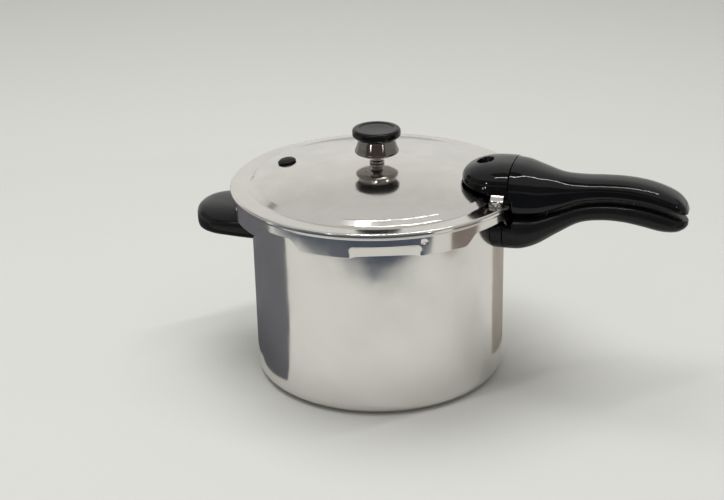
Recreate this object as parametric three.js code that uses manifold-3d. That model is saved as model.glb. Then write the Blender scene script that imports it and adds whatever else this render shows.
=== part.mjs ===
// Stovetop pressure cooker: a straight-sided pot with bayonet lugs, a turning cover with its
// sealing ring, a weighted pressure regulator on a vent pipe, an overpressure plug, an air
// vent that locks the cover, a long handle on each half, a helper handle and a cooking rack.
//
// Millimetres, +Z up. The origin is the centre of the base, on the surface that the cooker
// stands on. +X runs out along the two long handles, which lie one above the other while the
// cover is locked.
import * as THREE from 'three';
import { mergeVertices } from 'three/addons/utils/BufferGeometryUtils.js';
import Module from 'manifold-3d';

const wasm = await Module();
wasm.setup();

// ---- Driving dimensions ----------------------------------------------------------------

const GAP = 0.3; // air between pieces that touch on the real object

const POT_R = 108; // outside of the pot's wall
const POT_WALL = 2.4;
const POT_BASE = 3; // thickness of the base
const POT_H = 159; // top of the rim
const POT_CORNER = 16; // outside radius where the wall turns into the base
const RIM_FLARE = 3.5; // how far the rim stands out from the wall

const LUG_BELOW_RIM = 4.5; // top of the pot's bayonet lugs
const LUG_T = 3;
const LUG_REACH = 7; // out from the wall
const LUG_HALF_ANGLE = 27;
const BAYONETS = 4;
const BAYONET_AZIMUTH = 19.4; // from +X to the middle of the first locked bayonet

const COVER_WALL = 1.8;
const FLANGE_REACH = 17; // cover's flange, out from the pot's wall
const FLANGE_EDGE_R = 2.5; // rounding of the flange's edge
const FLANGE_RISE = 10.5; // flange's top face above the pot's rim
const SKIRT_SET_IN = 2; // skirt's outside, in from the flange's edge
const SKIRT_DEEP = 21.5; // deep stretches of the skirt, below the flange's top face
const SKIRT_SHALLOW = 12; // shallow stretches between them
const DEEP_HALF_ANGLE = 31.5;
const SHALLOW_SLANT = 4.5; // degrees that the ends of the shallow stretches lean over
const TAB_HALF_W = 28.7; // pressed-in tabs in the middle of the deep stretches
const TAB_LEAN = 3; // how far a tab's face leans in over its height
const LEDGE_CLEARANCE = 0.7; // between a tab's ledge and the lug above it
const RIM_CLEARANCE = 1; // between a tab's ledge and the pot's rim as the cover lifts off

const DOME_R = 500; // radius of the cover's crown
const DOME_EDGE_IN = 3.5; // crown's edge at the riser, in from the pot's wall
const RISER_RUN = 5.5;
const RISER_H = 4.2;

const RING_T = 8.1; // sealing ring's height
const RING_INNER_IN = 1; // ring's bore, in from the pot's wall

const VENT_PIPE_R = 4.5;
const VENT_PIPE_BORE_R = 1.3;
const VENT_PIPE_H = 17.8; // above the crown
const REGULATOR_LIFT = 8.5; // weight's underside above the crown
const WEIGHT_R = 18.7;
const WEIGHT_TOP_R = 15.2;
const WEIGHT_H = 13.8;
const WEIGHT_CLEARANCE = 0.9; // between the weight's bore and the pipe
const CAP_R = 20.5;
const CAP_H = 8;

const PLUG_FROM_EDGE = 23.5; // overpressure plug, in from the crown's edge
const PLUG_R = 7.9;
const PLUG_NECK_R = 5;

const LOCK_FROM_TIP = 19; // air vent lock, from the hood's inner end
const LOCK_PIN_R = 3.1;
const LOCK_TRAVEL = 5;
const LOCK_HOLE_R = 6; // sight hole in the hood

const HANDLE_REACH = 136; // both long handles, out from the flange
const HANDLE_HALF_W = 29; // beside the pot
const GRIP_HALF_W = 16;
const HOOD_LENGTH = 43.5;
const HOOD_SEAM_IN = 6.5; // seam between the hood and the grip, in from the flange's edge
const HOOD_HALF_W = 31;
const HOOD_H = 27.5; // crown of the hood above the flange's top face
const SPACER_T = 6; // pot handle's spacer, out from the wall
const HANDLE_DEPTH = 25; // pot handle's height beside the pot
const GRIP_BELOW_RIM = 4; // pot handle's top outside the flange

const STRAP_T = 2; // steel of every handle bracket
const SCREW_R = 2; // handle screws
const SCREW_HEAD_R = 4;
const RIVET_R = 2.2;
const RIVET_HEAD_R = 4.2;
const RIVET_HEAD_H = 1.6;

const HELPER_REACH = 56; // helper handle, out from the wall
const HELPER_HALF_W = 36;
const HELPER_BELOW_RIM = 32; // middle of the helper handle
const HELPER_T = 26;

const RACK_CLEARANCE = 12.6; // between the rack and the pot's wall
const RACK_T = 1.2;
const RACK_FOOT_H = 6.7;
const RACK_FOOT_R = 3.6;
const RACK_HOLE_R = 5.1;
const RACK_CENTRE_HOLE_R = 10.2;

const BIG = 60; // facets round the pot, cover and ring
const SMALL = 20; // facets round the fittings
const TINY = 12; // facets round rivets, screws and their holes
const CROWN_STEPS = 5; // steps along the crown's curve

// ---- Sizes that follow -----------------------------------------------------------------

const POT_BORE_R = POT_R - POT_WALL;
const RIM_R = POT_R + RIM_FLARE;
const FLANGE_R = POT_R + FLANGE_REACH;
const FLANGE_Z = POT_H + FLANGE_RISE;
const SKIRT_R = FLANGE_R - SKIRT_SET_IN;
const SKIRT_BORE_R = SKIRT_R - COVER_WALL;
const SKIRT_Z = FLANGE_Z - SKIRT_DEEP;
const SHALLOW_Z = FLANGE_Z - SKIRT_SHALLOW;
const DOME_EDGE_R = POT_R - DOME_EDGE_IN;
const DOME_SAG = DOME_R - Math.sqrt(DOME_R ** 2 - DOME_EDGE_R ** 2);
const CROWN_Z = FLANGE_Z + RISER_H + DOME_SAG;
const RING_Z = POT_H + GAP;
const RING_INNER_R = POT_R - RING_INNER_IN;
const HOOD_Z = FLANGE_Z + HOOD_H;
const LUG_R = POT_R + LUG_REACH;
const LUG_TOP = POT_H - LUG_BELOW_RIM;
const LEDGE_R = RIM_R + RIM_CLEARANCE;
const LEDGE_TOP = LUG_TOP - LUG_T - LEDGE_CLEARANCE;
const STRAP_Z = FLANGE_Z + 5.6; // underside of the cover strap's bridge
const HANDLE_TOP = SKIRT_Z - 0.7; // pot handle's top where the skirt turns over it
const CLEAR_OF_FLANGE = FLANGE_R + 0.5;
const HANDLE_END = FLANGE_R + HANDLE_REACH;
const HOOD_END = FLANGE_R - HOOD_SEAM_IN;
const HOOD_TIP = HOOD_END - HOOD_LENGTH;
const SPACER_END = POT_R + SPACER_T;
const HELPER_END = POT_R + HELPER_REACH;
const HELPER_Z = POT_H - HELPER_BELOW_RIM;
const PLUG_AT = PLUG_FROM_EDGE - DOME_EDGE_R; // along X, opposite the handles
const LOCK_AT = HOOD_TIP + LOCK_FROM_TIP;
const WEIGHT_BORE_R = VENT_PIPE_R + WEIGHT_CLEARANCE;
const RACK_R = POT_BORE_R - RACK_CLEARANCE;

const degrees = THREE.MathUtils.degToRad;
const crownAt = (r) => CROWN_Z - (DOME_R - Math.sqrt(DOME_R ** 2 - r ** 2));

// ---- Solids ----------------------------------------------------------------------------

// A closed three.js geometry as a manifold solid that faces outwards.
function solid(geometry) {
  const bare = geometry.index ? geometry.toNonIndexed() : geometry.clone();
  bare.deleteAttribute('normal');
  bare.deleteAttribute('uv');
  const merged = mergeVertices(bare, 1e-3);
  const corners = merged.index.array;
  const point = new THREE.Vector3();
  const at = (i) => point.clone().fromBufferAttribute(merged.attributes.position, i);
  const faces = [];
  let volume = 0;
  for (let i = 0; i < corners.length; i += 3) {
    const [a, b, c] = [corners[i], corners[i + 1], corners[i + 2]];
    if (a === b || b === c || c === a) continue; // a facet that closed up at a pole
    faces.push([a, b, c]);
    volume += at(a).dot(at(b).cross(at(c)));
  }
  const facing = volume < 0 ? faces.map(([a, b, c]) => [a, c, b]) : faces;
  return new wasm.Manifold(new wasm.Mesh({
    numProp: 3,
    vertProperties: new Float32Array(merged.attributes.position.array),
    triVerts: new Uint32Array(facing.flat()),
  }));
}

// A profile of [radius, height] points turned round Z. It starts and ends on the axis or
// closes on itself.
function turned(points, facets = SMALL) {
  const profile = points.map(([r, z]) => new THREE.Vector2(r, z));
  return new THREE.LatheGeometry(profile, facets).rotateX(Math.PI / 2);
}

// A closed ring of [radius, height] points turned round Z.
const turnedRing = (points, facets = SMALL) => turned([...points, points[0]], facets);

const rod = (r, z0, z1, facets = SMALL) =>
  new THREE.CylinderGeometry(r, r, z1 - z0, facets)
    .rotateX(Math.PI / 2)
    .translate(0, 0, (z0 + z1) / 2);

const box = (x0, x1, y0, y1, z0, z1) =>
  new THREE.BoxGeometry(x1 - x0, y1 - y0, z1 - z0)
    .translate((x0 + x1) / 2, (y0 + y1) / 2, (z0 + z1) / 2);

// Part of a ring between two radii, two heights and two azimuths in degrees.
function sector(r0, r1, z0, z1, from, to) {
  const shape = new THREE.Shape();
  shape.absarc(0, 0, r1, degrees(from), degrees(to), false);
  shape.absarc(0, 0, r0, degrees(to), degrees(from), true);
  shape.closePath();
  const curveSegments = Math.max(4, Math.round((to - from) / 5));
  return new THREE.ExtrudeGeometry(shape, { depth: z1 - z0, bevelEnabled: false, curveSegments })
    .translate(0, 0, z0);
}

// A flat outline of [along X, along Z] points, as thick as it is wide, centred on Y = 0.
function slab(points, width) {
  const shape = new THREE.Shape(points.map(([x, z]) => new THREE.Vector2(x, z)));
  return new THREE.ExtrudeGeometry(shape, { depth: width, bevelEnabled: false })
    .rotateX(Math.PI / 2)
    .translate(0, width / 2, 0);
}

// Points on an arc, in degrees, as [x, y].
function arc(cx, cy, r, from, to, steps) {
  return Array.from({ length: steps + 1 }, (_, i) => {
    const a = degrees(from + (to - from) * i / steps);
    return [cx + r * Math.cos(a), cy + r * Math.sin(a)];
  });
}

// Turns and sets a fitting that was made at the origin onto the cover's crown, at x.
const onCrown = (geometry, x) =>
  geometry.rotateY(Math.asin(x / DOME_R)).translate(x, 0, crownAt(Math.abs(x)));

// A body that follows stations along X. Each station is [x, half width, underside, top].
// Its section is a superellipse whose upper and lower halves have powers of their own, and
// whose widest level lies at the share `waist` of its height.
function swept(stations, { topPower, bottomPower, waist = 0.5, around = 20, along = 22 }) {
  const column = (k) =>
    new THREE.SplineCurve(stations.map((s) => new THREE.Vector2(s[0], s[k])));
  const [half, under, top] = [column(1), column(2), column(3)];
  const body = new THREE.CylinderGeometry(1, 1, 1, around, along);
  const place = body.attributes.position;
  const bend = (v, power) => Math.sign(v) * Math.abs(v) ** (2 / power);
  for (let i = 0; i < place.count; i++) {
    const t = Math.min(Math.max(place.getY(i) + 0.5, 0), 1);
    const [y, z] = [place.getX(i), place.getZ(i)];
    const power = z > 0 ? topPower : bottomPower;
    const low = under.getPoint(t).y;
    const high = top.getPoint(t).y;
    const level = low + (high - low) * waist;
    const reach = z > 0 ? high - level : level - low;
    const station = half.getPoint(t);
    place.setXYZ(i, station.x, station.y * bend(y, power), level + reach * bend(z, power));
  }
  return body;
}

// A headed rivet or screw along +Z, its shank from z = 0 up, its head below.
const headed = (r, length, headR, headH) =>
  turned([
    [0, -headH], [headR * 0.55, -headH], [headR * 0.9, -headH * 0.6], [headR, 0],
    [r, 0], [r, length], [0, length],
  ], TINY);

// ---- Materials -------------------------------------------------------------------------

const material = (color, roughness, metalness) =>
  new THREE.MeshStandardMaterial({ color, roughness, metalness });
const polished = material(0xcfcdc8, 0.16, 1);
const satin = material(0xd5dae0, 0.42, 1);
const steel = material(0xa9a9a6, 0.3, 1);
const chrome = material(0x8f8f8f, 0.08, 1);
const blackGloss = material(0x0b0b0c, 0.18, 0);
const blackSatin = material(0x151617, 0.38, 0);
const blackRubber = material(0x0c0c0c, 0.6, 0);
const greyRubber = material(0x55585a, 0.7, 0);

const cooker = new THREE.Group();

function part(name, made, look) {
  const whole = made instanceof wasm.Manifold ? made : solid(made);
  const { vertProperties, triVerts } = whole.getMesh();
  const geometry = new THREE.BufferGeometry()
    .setAttribute('position', new THREE.BufferAttribute(vertProperties, 3))
    .setIndex(new THREE.BufferAttribute(triVerts, 1));
  geometry.computeVertexNormals();
  const mesh = new THREE.Mesh(geometry, look);
  mesh.name = name;
  cooker.add(mesh);
}

const bayonetAzimuths = Array.from({ length: BAYONETS },
  (_, k) => BAYONET_AZIMUTH + k * 360 / BAYONETS);

// ---- Pot -------------------------------------------------------------------------------

const HANDLE_RIVET_AZIMUTH = 7; // either side of the handle's middle
const HELPER_RIVET_AZIMUTH = 13;
const POT_BRACKET_Z = SKIRT_Z - 12; // height of the pot handle's bracket rivets
const HELPER_BRACKET_Z = HELPER_Z - 0.5;
const potRivets = [
  ['pot_handle_rivet_1', HANDLE_RIVET_AZIMUTH, POT_BRACKET_Z],
  ['pot_handle_rivet_2', -HANDLE_RIVET_AZIMUTH, POT_BRACKET_Z],
  ['helper_rivet_1', 180 - HELPER_RIVET_AZIMUTH, HELPER_BRACKET_Z],
  ['helper_rivet_2', 180 + HELPER_RIVET_AZIMUTH, HELPER_BRACKET_Z],
];

function makePot() {
  const cornerX = POT_R - POT_CORNER;
  const innerCorner = POT_CORNER - POT_WALL;
  const shell = solid(turned([
    [0, 0],
    ...arc(cornerX, POT_CORNER, POT_CORNER, -90, 0, 5),
    [POT_R, POT_H - 5.5],
    [RIM_R, POT_H - 3.2],
    [RIM_R, POT_H - 1.2],
    [RIM_R - 1.1, POT_H],
    [POT_BORE_R + 1.2, POT_H],
    [POT_BORE_R, POT_H - 1.4],
    ...arc(cornerX, POT_BASE + innerCorner, innerCorner, 0, -90, 4),
    [0, POT_BASE],
  ], BIG));
  const lugs = bayonetAzimuths.map((a) => solid(sector(
    POT_R - 1, LUG_R, LUG_TOP - LUG_T, LUG_TOP, a - LUG_HALF_ANGLE, a + LUG_HALF_ANGLE)));
  const holes = potRivets.map(([, a, z]) => solid(
    rod(RIVET_R + GAP, POT_BORE_R - 3, POT_R + 3, TINY).rotateY(Math.PI / 2)
      .rotateZ(degrees(a)).translate(0, 0, z)));
  return wasm.Manifold.union([shell, ...lugs]).subtract(wasm.Manifold.union(holes));
}
part('pot_body', makePot(), polished);

const BRACKET_IN = POT_R + GAP;
const BRACKET_OUT = BRACKET_IN + STRAP_T;
for (const [name, azimuth, z] of potRivets) {
  const headFace = POT_BORE_R - GAP - 0.15;
  const rivet = headed(RIVET_R, BRACKET_OUT + 1.2 - headFace, RIVET_HEAD_R, RIVET_HEAD_H);
  part(name, rivet.rotateY(Math.PI / 2).translate(headFace, 0, 0)
    .rotateZ(degrees(azimuth)).translate(0, 0, z), steel);
}

// A curved steel plate that lies on the pot's wall, with a tongue that the handle slides on.
// The tongue has a hole for each handle screw.
function potBracket(halfAngle, halfHeight, middleZ, tongueHalfW, tongueEnd, rivetAzimuth, screws) {
  const plate = solid(sector(BRACKET_IN, BRACKET_OUT,
    middleZ - halfHeight, middleZ + halfHeight, -halfAngle, halfAngle));
  const tongue = solid(box(BRACKET_IN + 1, tongueEnd, -tongueHalfW, tongueHalfW,
    middleZ - STRAP_T / 2, middleZ + STRAP_T / 2));
  const holes = [1, -1].map((side) => solid(
    rod(RIVET_R + GAP, POT_R - 3, BRACKET_OUT + 3, TINY).rotateY(Math.PI / 2)
      .rotateZ(degrees(side * rivetAzimuth)).translate(0, 0, middleZ)));
  const screwHoles = screws.map(([x, y]) => solid(
    rod(SCREW_R + GAP, middleZ - 5, middleZ + 5, TINY).translate(x, y, 0)));
  return plate.add(tongue).subtract(wasm.Manifold.union([...holes, ...screwHoles]));
}

const POT_PLATE_ANGLE = 10.5;
const POT_PLATE_HALF_H = 6.5;
const POT_TONGUE_HALF_W = 7.5;
const POT_TONGUE_END = SPACER_END + 23;
const POT_SCREW = [SPACER_END + 15, 0];
part('pot_handle_bracket', potBracket(POT_PLATE_ANGLE, POT_PLATE_HALF_H, POT_BRACKET_Z,
  POT_TONGUE_HALF_W, POT_TONGUE_END, HANDLE_RIVET_AZIMUTH, [POT_SCREW]), steel);

// Room for a bracket's plate and rivets, its tongue and its screws.
function bracketRoom(plateAngle, halfHeight, middleZ, tongueHalfW, tongueEnd, screws, undersideZ) {
  const plate = solid(sector(POT_R - 9, BRACKET_OUT + 1.2 + GAP,
    middleZ - halfHeight - 1, middleZ + halfHeight + 1, -plateAngle - 1, plateAngle + 1));
  const tongue = solid(box(POT_R, tongueEnd + GAP, -tongueHalfW - GAP, tongueHalfW + GAP,
    middleZ - STRAP_T / 2 - GAP, middleZ + STRAP_T / 2 + GAP));
  const screwRoom = screws.map(([x, y]) => solid(
    rod(SCREW_R + GAP, undersideZ - 20, middleZ + 4, TINY).translate(x, y, 0)));
  const headRoom = screws.map(([x, y]) => solid(
    rod(SCREW_HEAD_R + GAP, undersideZ - 20, undersideZ + 5, TINY).translate(x, y, 0)));
  return wasm.Manifold.union([plate, tongue, ...screwRoom, ...headRoom]);
}

// ---- Long handle on the pot ------------------------------------------------------------

const POT_HANDLE_UNDER = HANDLE_TOP - HANDLE_DEPTH;
const GRIP_TOP = POT_H - GRIP_BELOW_RIM; // outside the flange
const potHandleStation = (share, halfW, under, top) => [
  SPACER_END + GAP + share * (HANDLE_END - SPACER_END - GAP), halfW,
  POT_HANDLE_UNDER + under, GRIP_TOP + top];
const potHandleShape = { topPower: 5, bottomPower: 2.3, waist: 0.62 };
const potHandleStations = [
  potHandleStation(0, HANDLE_HALF_W, 0, 0),
  potHandleStation(0.09, HANDLE_HALF_W, 1, 0),
  potHandleStation(0.18, HANDLE_HALF_W - 3, 6, 0.3),
  potHandleStation(0.29, HANDLE_HALF_W - 9, 16.5, 4.5),
  potHandleStation(0.41, GRIP_HALF_W + 1, 27, 11),
  potHandleStation(0.53, GRIP_HALF_W, 30.5, 14),
  potHandleStation(0.65, GRIP_HALF_W, 30.5, 14.6),
  potHandleStation(0.76, GRIP_HALF_W, 28, 13.4),
  potHandleStation(0.86, GRIP_HALF_W - 0.5, 25.2, 10.4),
  potHandleStation(0.94, GRIP_HALF_W - 3, 25.6, 6.4),
  potHandleStation(0.985, GRIP_HALF_W - 8, 28.6, 3.6),
  potHandleStation(1, GRIP_HALF_W - 12, 31.2, 2),
];

const wallRoom = solid(rod(BRACKET_IN, SKIRT_Z - 60, POT_H, BIG));
const skirtRoom = solid(rod(CLEAR_OF_FLANGE, HANDLE_TOP, POT_H + 20, BIG));
const potHandleRoom = bracketRoom(POT_PLATE_ANGLE, POT_PLATE_HALF_H, POT_BRACKET_Z,
  POT_TONGUE_HALF_W, POT_TONGUE_END, [POT_SCREW], POT_HANDLE_UNDER);

const spacerStations = [POT_R - 9, POT_R, SPACER_END].map((x) =>
  [x, HANDLE_HALF_W, POT_HANDLE_UNDER, GRIP_TOP]);
part('pot_handle_spacer',
  solid(swept(spacerStations, { ...potHandleShape, along: 2 }))
    .subtract(wasm.Manifold.union([wallRoom, skirtRoom, potHandleRoom])), blackGloss);
part('pot_handle',
  solid(swept(potHandleStations, potHandleShape))
    .subtract(wasm.Manifold.union([skirtRoom, potHandleRoom])), blackSatin);

const potScrewHead = POT_HANDLE_UNDER + 5 - GAP;
part('pot_handle_screw',
  headed(SCREW_R, POT_BRACKET_Z + 3 - potScrewHead, SCREW_HEAD_R, 2.4)
    .translate(POT_SCREW[0], POT_SCREW[1], potScrewHead), steel);

// ---- Helper handle ---------------------------------------------------------------------

const HELPER_PLATE_ANGLE = 16.5;
const HELPER_PLATE_HALF_H = 6;
const HELPER_TONGUE_HALF_W = 17;
const HELPER_TONGUE_END = POT_R + 24;
const HELPER_SCREWS = [[POT_R + 18, 11], [POT_R + 18, -11]];
const helperStation = (share, halfW, halfT) => [
  POT_R - 12 + share * (HELPER_END - POT_R + 12), halfW, HELPER_Z - halfT, HELPER_Z + halfT];
const helperStations = [
  helperStation(0, HELPER_HALF_W, HELPER_T / 2 + 1),
  helperStation(0.2, HELPER_HALF_W, HELPER_T / 2 + 1),
  helperStation(0.45, HELPER_HALF_W + 0.5, HELPER_T / 2),
  helperStation(0.68, HELPER_HALF_W - 1.5, HELPER_T / 2 - 0.5),
  helperStation(0.86, HELPER_HALF_W - 9, HELPER_T / 2 - 1.5),
  helperStation(0.96, HELPER_HALF_W - 20, HELPER_T / 2 - 3.5),
  helperStation(1, HELPER_HALF_W - 30, HELPER_T / 2 - 6.5),
];
const facingBack = (made) => made.rotate([0, 0, 180]);
const helperRoom = bracketRoom(HELPER_PLATE_ANGLE, HELPER_PLATE_HALF_H, HELPER_BRACKET_Z,
  HELPER_TONGUE_HALF_W, HELPER_TONGUE_END, HELPER_SCREWS, HELPER_Z - HELPER_T / 2);
part('helper_handle', facingBack(
  solid(swept(helperStations, { topPower: 3, bottomPower: 3 }))
    .subtract(wasm.Manifold.union([wallRoom, helperRoom]))), blackSatin);
part('helper_bracket', facingBack(potBracket(HELPER_PLATE_ANGLE, HELPER_PLATE_HALF_H,
  HELPER_BRACKET_Z, HELPER_TONGUE_HALF_W, HELPER_TONGUE_END,
  HELPER_RIVET_AZIMUTH, HELPER_SCREWS)), steel);
const helperScrewHead = HELPER_Z - HELPER_T / 2 + 5 - GAP;
HELPER_SCREWS.forEach(([x, y], i) => part(`helper_screw_${i + 1}`,
  headed(SCREW_R, HELPER_BRACKET_Z + 3 - helperScrewHead, SCREW_HEAD_R, 2.4)
    .translate(-x, y, helperScrewHead), steel));

// ---- Cover -----------------------------------------------------------------------------

const lockHoleInCover = LOCK_PIN_R + 2.1;

// Cuts the skirt back between two deep stretches: an outline across the skirt, with leaning
// ends, pushed out through it.
function shallowCut(azimuth) {
  const gapAngle = 180 / BAYONETS - DEEP_HALF_ANGLE;
  const [wide, narrow] = [gapAngle, gapAngle - SHALLOW_SLANT].map((a) =>
    SKIRT_R * Math.sin(degrees(a)));
  const shape = new THREE.Shape();
  shape.moveTo(-wide, SKIRT_Z - 1);
  shape.lineTo(wide, SKIRT_Z - 1);
  shape.bezierCurveTo(wide, SHALLOW_Z - 4, narrow + 4, SHALLOW_Z, narrow - 3, SHALLOW_Z);
  shape.lineTo(3 - narrow, SHALLOW_Z);
  shape.bezierCurveTo(-narrow - 4, SHALLOW_Z, -wide, SHALLOW_Z - 4, -wide, SKIRT_Z - 1);
  const out = new THREE.Matrix4().makeBasis(new THREE.Vector3(0, 1, 0),
    new THREE.Vector3(0, 0, 1), new THREE.Vector3(1, 0, 0));
  const cut = new THREE.ExtrudeGeometry(shape,
    { depth: 20, bevelEnabled: false, curveSegments: 6 });
  return solid(cut.applyMatrix4(out).translate(SKIRT_R - 16, 0, 0).rotateZ(degrees(azimuth)));
}

const TAB_TOP = POT_H - 1.6; // fold line of the pressed-in tabs
const tabFace = Math.sqrt(SKIRT_R ** 2 - TAB_HALF_W ** 2); // flat face at the fold line

const tabCut = (azimuth) => solid(
  box(tabFace - 8, SKIRT_R + 3, -TAB_HALF_W, TAB_HALF_W, SKIRT_Z - 1, TAB_TOP)
    .rotateZ(degrees(azimuth)));

// A pressed-in tab: a shelf at the fold line, a face that leans in, and the ledge that
// turns in under the pot's lug.
function tab(azimuth) {
  const foot = tabFace - TAB_LEAN;
  const plate = solid(slab([
    [tabFace - COVER_WALL, TAB_TOP + 1.3],
    [SKIRT_R + 2, TAB_TOP + 1.3],
    [SKIRT_R + 2, TAB_TOP],
    [tabFace, TAB_TOP],
    [foot, SKIRT_Z + 1],
    [foot - 1, SKIRT_Z],
    [LEDGE_R - 4, SKIRT_Z],
    [LEDGE_R - 4, LEDGE_TOP],
    [foot - COVER_WALL, LEDGE_TOP],
  ], 2 * TAB_HALF_W + 2));
  const inside = solid(rod(SKIRT_R, SKIRT_Z - 5, POT_H + 5, BIG).rotateZ(degrees(-azimuth)));
  const rimRoom = solid(rod(LEDGE_R, SKIRT_Z - 5, POT_H + 5, BIG).rotateZ(degrees(-azimuth)));
  return plate.intersect(inside).subtract(rimRoom).rotate([0, 0, azimuth]);
}

function makeCover() {
  const crown = (drop) => Array.from({ length: CROWN_STEPS + 1 }, (_, i) => {
    const r = DOME_EDGE_R * i / CROWN_STEPS - (drop && i === CROWN_STEPS ? 0.9 : 0);
    return [Math.max(r, 0), crownAt(r) - drop];
  });
  const flangeInR = DOME_EDGE_R + RISER_RUN;
  const shell = solid(turned([
    ...crown(0),
    [DOME_EDGE_R + 1.4, FLANGE_Z + RISER_H - 1],
    [DOME_EDGE_R + 3.4, FLANGE_Z + 1],
    [flangeInR, FLANGE_Z],
    ...arc(FLANGE_R - FLANGE_EDGE_R, FLANGE_Z - FLANGE_EDGE_R, FLANGE_EDGE_R, 90, 0, 4),
    [FLANGE_R, FLANGE_Z - FLANGE_EDGE_R - 0.8],
    [SKIRT_R, FLANGE_Z - FLANGE_EDGE_R - 2.6],
    [SKIRT_R, SKIRT_Z],
    [SKIRT_BORE_R, SKIRT_Z],
    [SKIRT_BORE_R, FLANGE_Z - COVER_WALL],
    [flangeInR - 0.6, FLANGE_Z - COVER_WALL],
    [DOME_EDGE_R + 2.2, FLANGE_Z - 0.5],
    ...crown(COVER_WALL).reverse(),
  ], BIG));
  const cuts = bayonetAzimuths.flatMap((a) => [shallowCut(a + 180 / BAYONETS), tabCut(a)]);
  const pipeHole = solid(rod(VENT_PIPE_R + GAP, CROWN_Z - 5, CROWN_Z + 5));
  const plugHole = solid(onCrown(rod(PLUG_NECK_R + GAP, -5, 5), PLUG_AT));
  const lockHole = solid(rod(lockHoleInCover, FLANGE_Z - 5, CROWN_Z).translate(LOCK_AT, 0, 0));
  return shell.subtract(wasm.Manifold.union([...cuts, pipeHole, plugHole, lockHole]))
    .add(wasm.Manifold.union(bayonetAzimuths.map(tab)))
    .subtract(wasm.Manifold.union(strapRivetHoles()));
}

// ---- Cover strap: the steel bridge that carries the hood and the long handle -----------

const STRAP_IN = FLANGE_R - 19.5; // inner edge, along X
const STRAP_OUT = FLANGE_R - 9;
const BRIDGE_HALF_W = 29;
const EAR_AT = [(STRAP_IN + STRAP_OUT) / 2, 38.5]; // middle of an ear
const EAR_Z = FLANGE_Z + GAP;
const STRAP_TONGUE_END = FLANGE_R + 27;
const STRAP_TONGUE_HALF_W = 9;
const GRIP_SCREW_X = FLANGE_R + 17;
const HOOD_SCREW_X = STRAP_OUT - 4;

function strapRivetHoles() {
  return [1, -1].map((side) => solid(rod(RIVET_R + GAP, FLANGE_Z - 5, FLANGE_Z + 5, TINY)
    .translate(EAR_AT[0], side * EAR_AT[1], 0)));
}

function makeStrap() {
  const side = (s) => [
    [s * (EAR_AT[1] + 5), EAR_Z], [s * (EAR_AT[1] - 4.6), EAR_Z],
    [s * (BRIDGE_HALF_W - 0.6), STRAP_Z],
  ];
  const upper = (s) => [
    [s * BRIDGE_HALF_W, STRAP_Z + STRAP_T], [s * (EAR_AT[1] - 3.8), EAR_Z + STRAP_T],
    [s * (EAR_AT[1] + 5), EAR_Z + STRAP_T],
  ];
  const outline = [...side(1), ...side(-1).reverse(), ...upper(-1).reverse(), ...upper(1)];
  const across = solid(slab(outline, STRAP_OUT - STRAP_IN).rotateZ(Math.PI / 2)
    .translate((STRAP_IN + STRAP_OUT) / 2, 0, 0));
  const earEnds = new THREE.Shape();
  const earR = (STRAP_OUT - STRAP_IN) / 2;
  earEnds.absarc(EAR_AT[0], EAR_AT[1] - 0.4, earR, 0, Math.PI, false);
  earEnds.absarc(EAR_AT[0], 0.4 - EAR_AT[1], earR, Math.PI, 2 * Math.PI, false);
  earEnds.closePath();
  const rounded = solid(new THREE.ExtrudeGeometry(earEnds,
    { depth: 40, bevelEnabled: false, curveSegments: 10 }).translate(0, 0, FLANGE_Z - 10));
  const tongue = solid(box(STRAP_IN + 2, STRAP_TONGUE_END,
    -STRAP_TONGUE_HALF_W, STRAP_TONGUE_HALF_W, STRAP_Z, STRAP_Z + STRAP_T));
  const screwHoles = [GRIP_SCREW_X, HOOD_SCREW_X].map((x) =>
    solid(rod(SCREW_R + GAP, STRAP_Z - 5, STRAP_Z + 5, TINY).translate(x, 0, 0)));
  return across.intersect(rounded).add(tongue)
    .subtract(wasm.Manifold.union([...strapRivetHoles(), ...screwHoles]));
}

part('cover', makeCover(), polished);
part('cover_strap', makeStrap(), steel);
[1, -1].forEach((side, i) => part(`cover_strap_rivet_${i + 1}`,
  headed(RIVET_R, COVER_WALL + STRAP_T + 2 * GAP + 0.2, RIVET_HEAD_R * 0.7, RIVET_HEAD_H * 0.6)
    .rotateX(Math.PI)
    .translate(EAR_AT[0], side * EAR_AT[1], EAR_Z + STRAP_T + GAP), steel));

// ---- Hood over the air vent lock -------------------------------------------------------

const hoodStation = (share, halfW, drop) => [
  HOOD_TIP + share * (HOOD_END - HOOD_TIP), halfW, STRAP_Z + 0.2, HOOD_Z - drop];
const hoodStations = [
  hoodStation(0, 5, 12.5),
  hoodStation(0.05, HOOD_HALF_W - 18, 9),
  hoodStation(0.13, HOOD_HALF_W - 11, 6.4),
  hoodStation(0.28, HOOD_HALF_W - 4.5, 3.6),
  hoodStation(0.48, HOOD_HALF_W - 1, 1.4),
  hoodStation(0.72, HOOD_HALF_W, 0.3),
  hoodStation(1, HOOD_HALF_W - 0.5, 0),
];

// Room under the hood and the grip for the crown, the riser, the strap and its screws.
const strapSlot = solid(box(STRAP_IN - GAP, STRAP_TONGUE_END + GAP,
  -STRAP_TONGUE_HALF_W - GAP, STRAP_TONGUE_HALF_W + GAP,
  STRAP_Z - GAP, STRAP_Z + STRAP_T + GAP));
const bridgeSlot = solid(box(STRAP_IN - GAP, STRAP_OUT + GAP, -60, 60,
  STRAP_Z - 10, STRAP_Z + STRAP_T + GAP));
const crownRoom = solid(turned([
  [0, FLANGE_Z - 20],
  [DOME_EDGE_R + 1, FLANGE_Z - 20],
  ...Array.from({ length: CROWN_STEPS + 1 }, (_, i) => {
    const r = (DOME_EDGE_R + 1) * (CROWN_STEPS - i) / CROWN_STEPS;
    return [r, crownAt(r) + 2.4];
  }),
], BIG));
const sightHole = solid(rod(LOCK_HOLE_R, FLANGE_Z, HOOD_Z + 5).translate(LOCK_AT, 0, 0));
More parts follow.
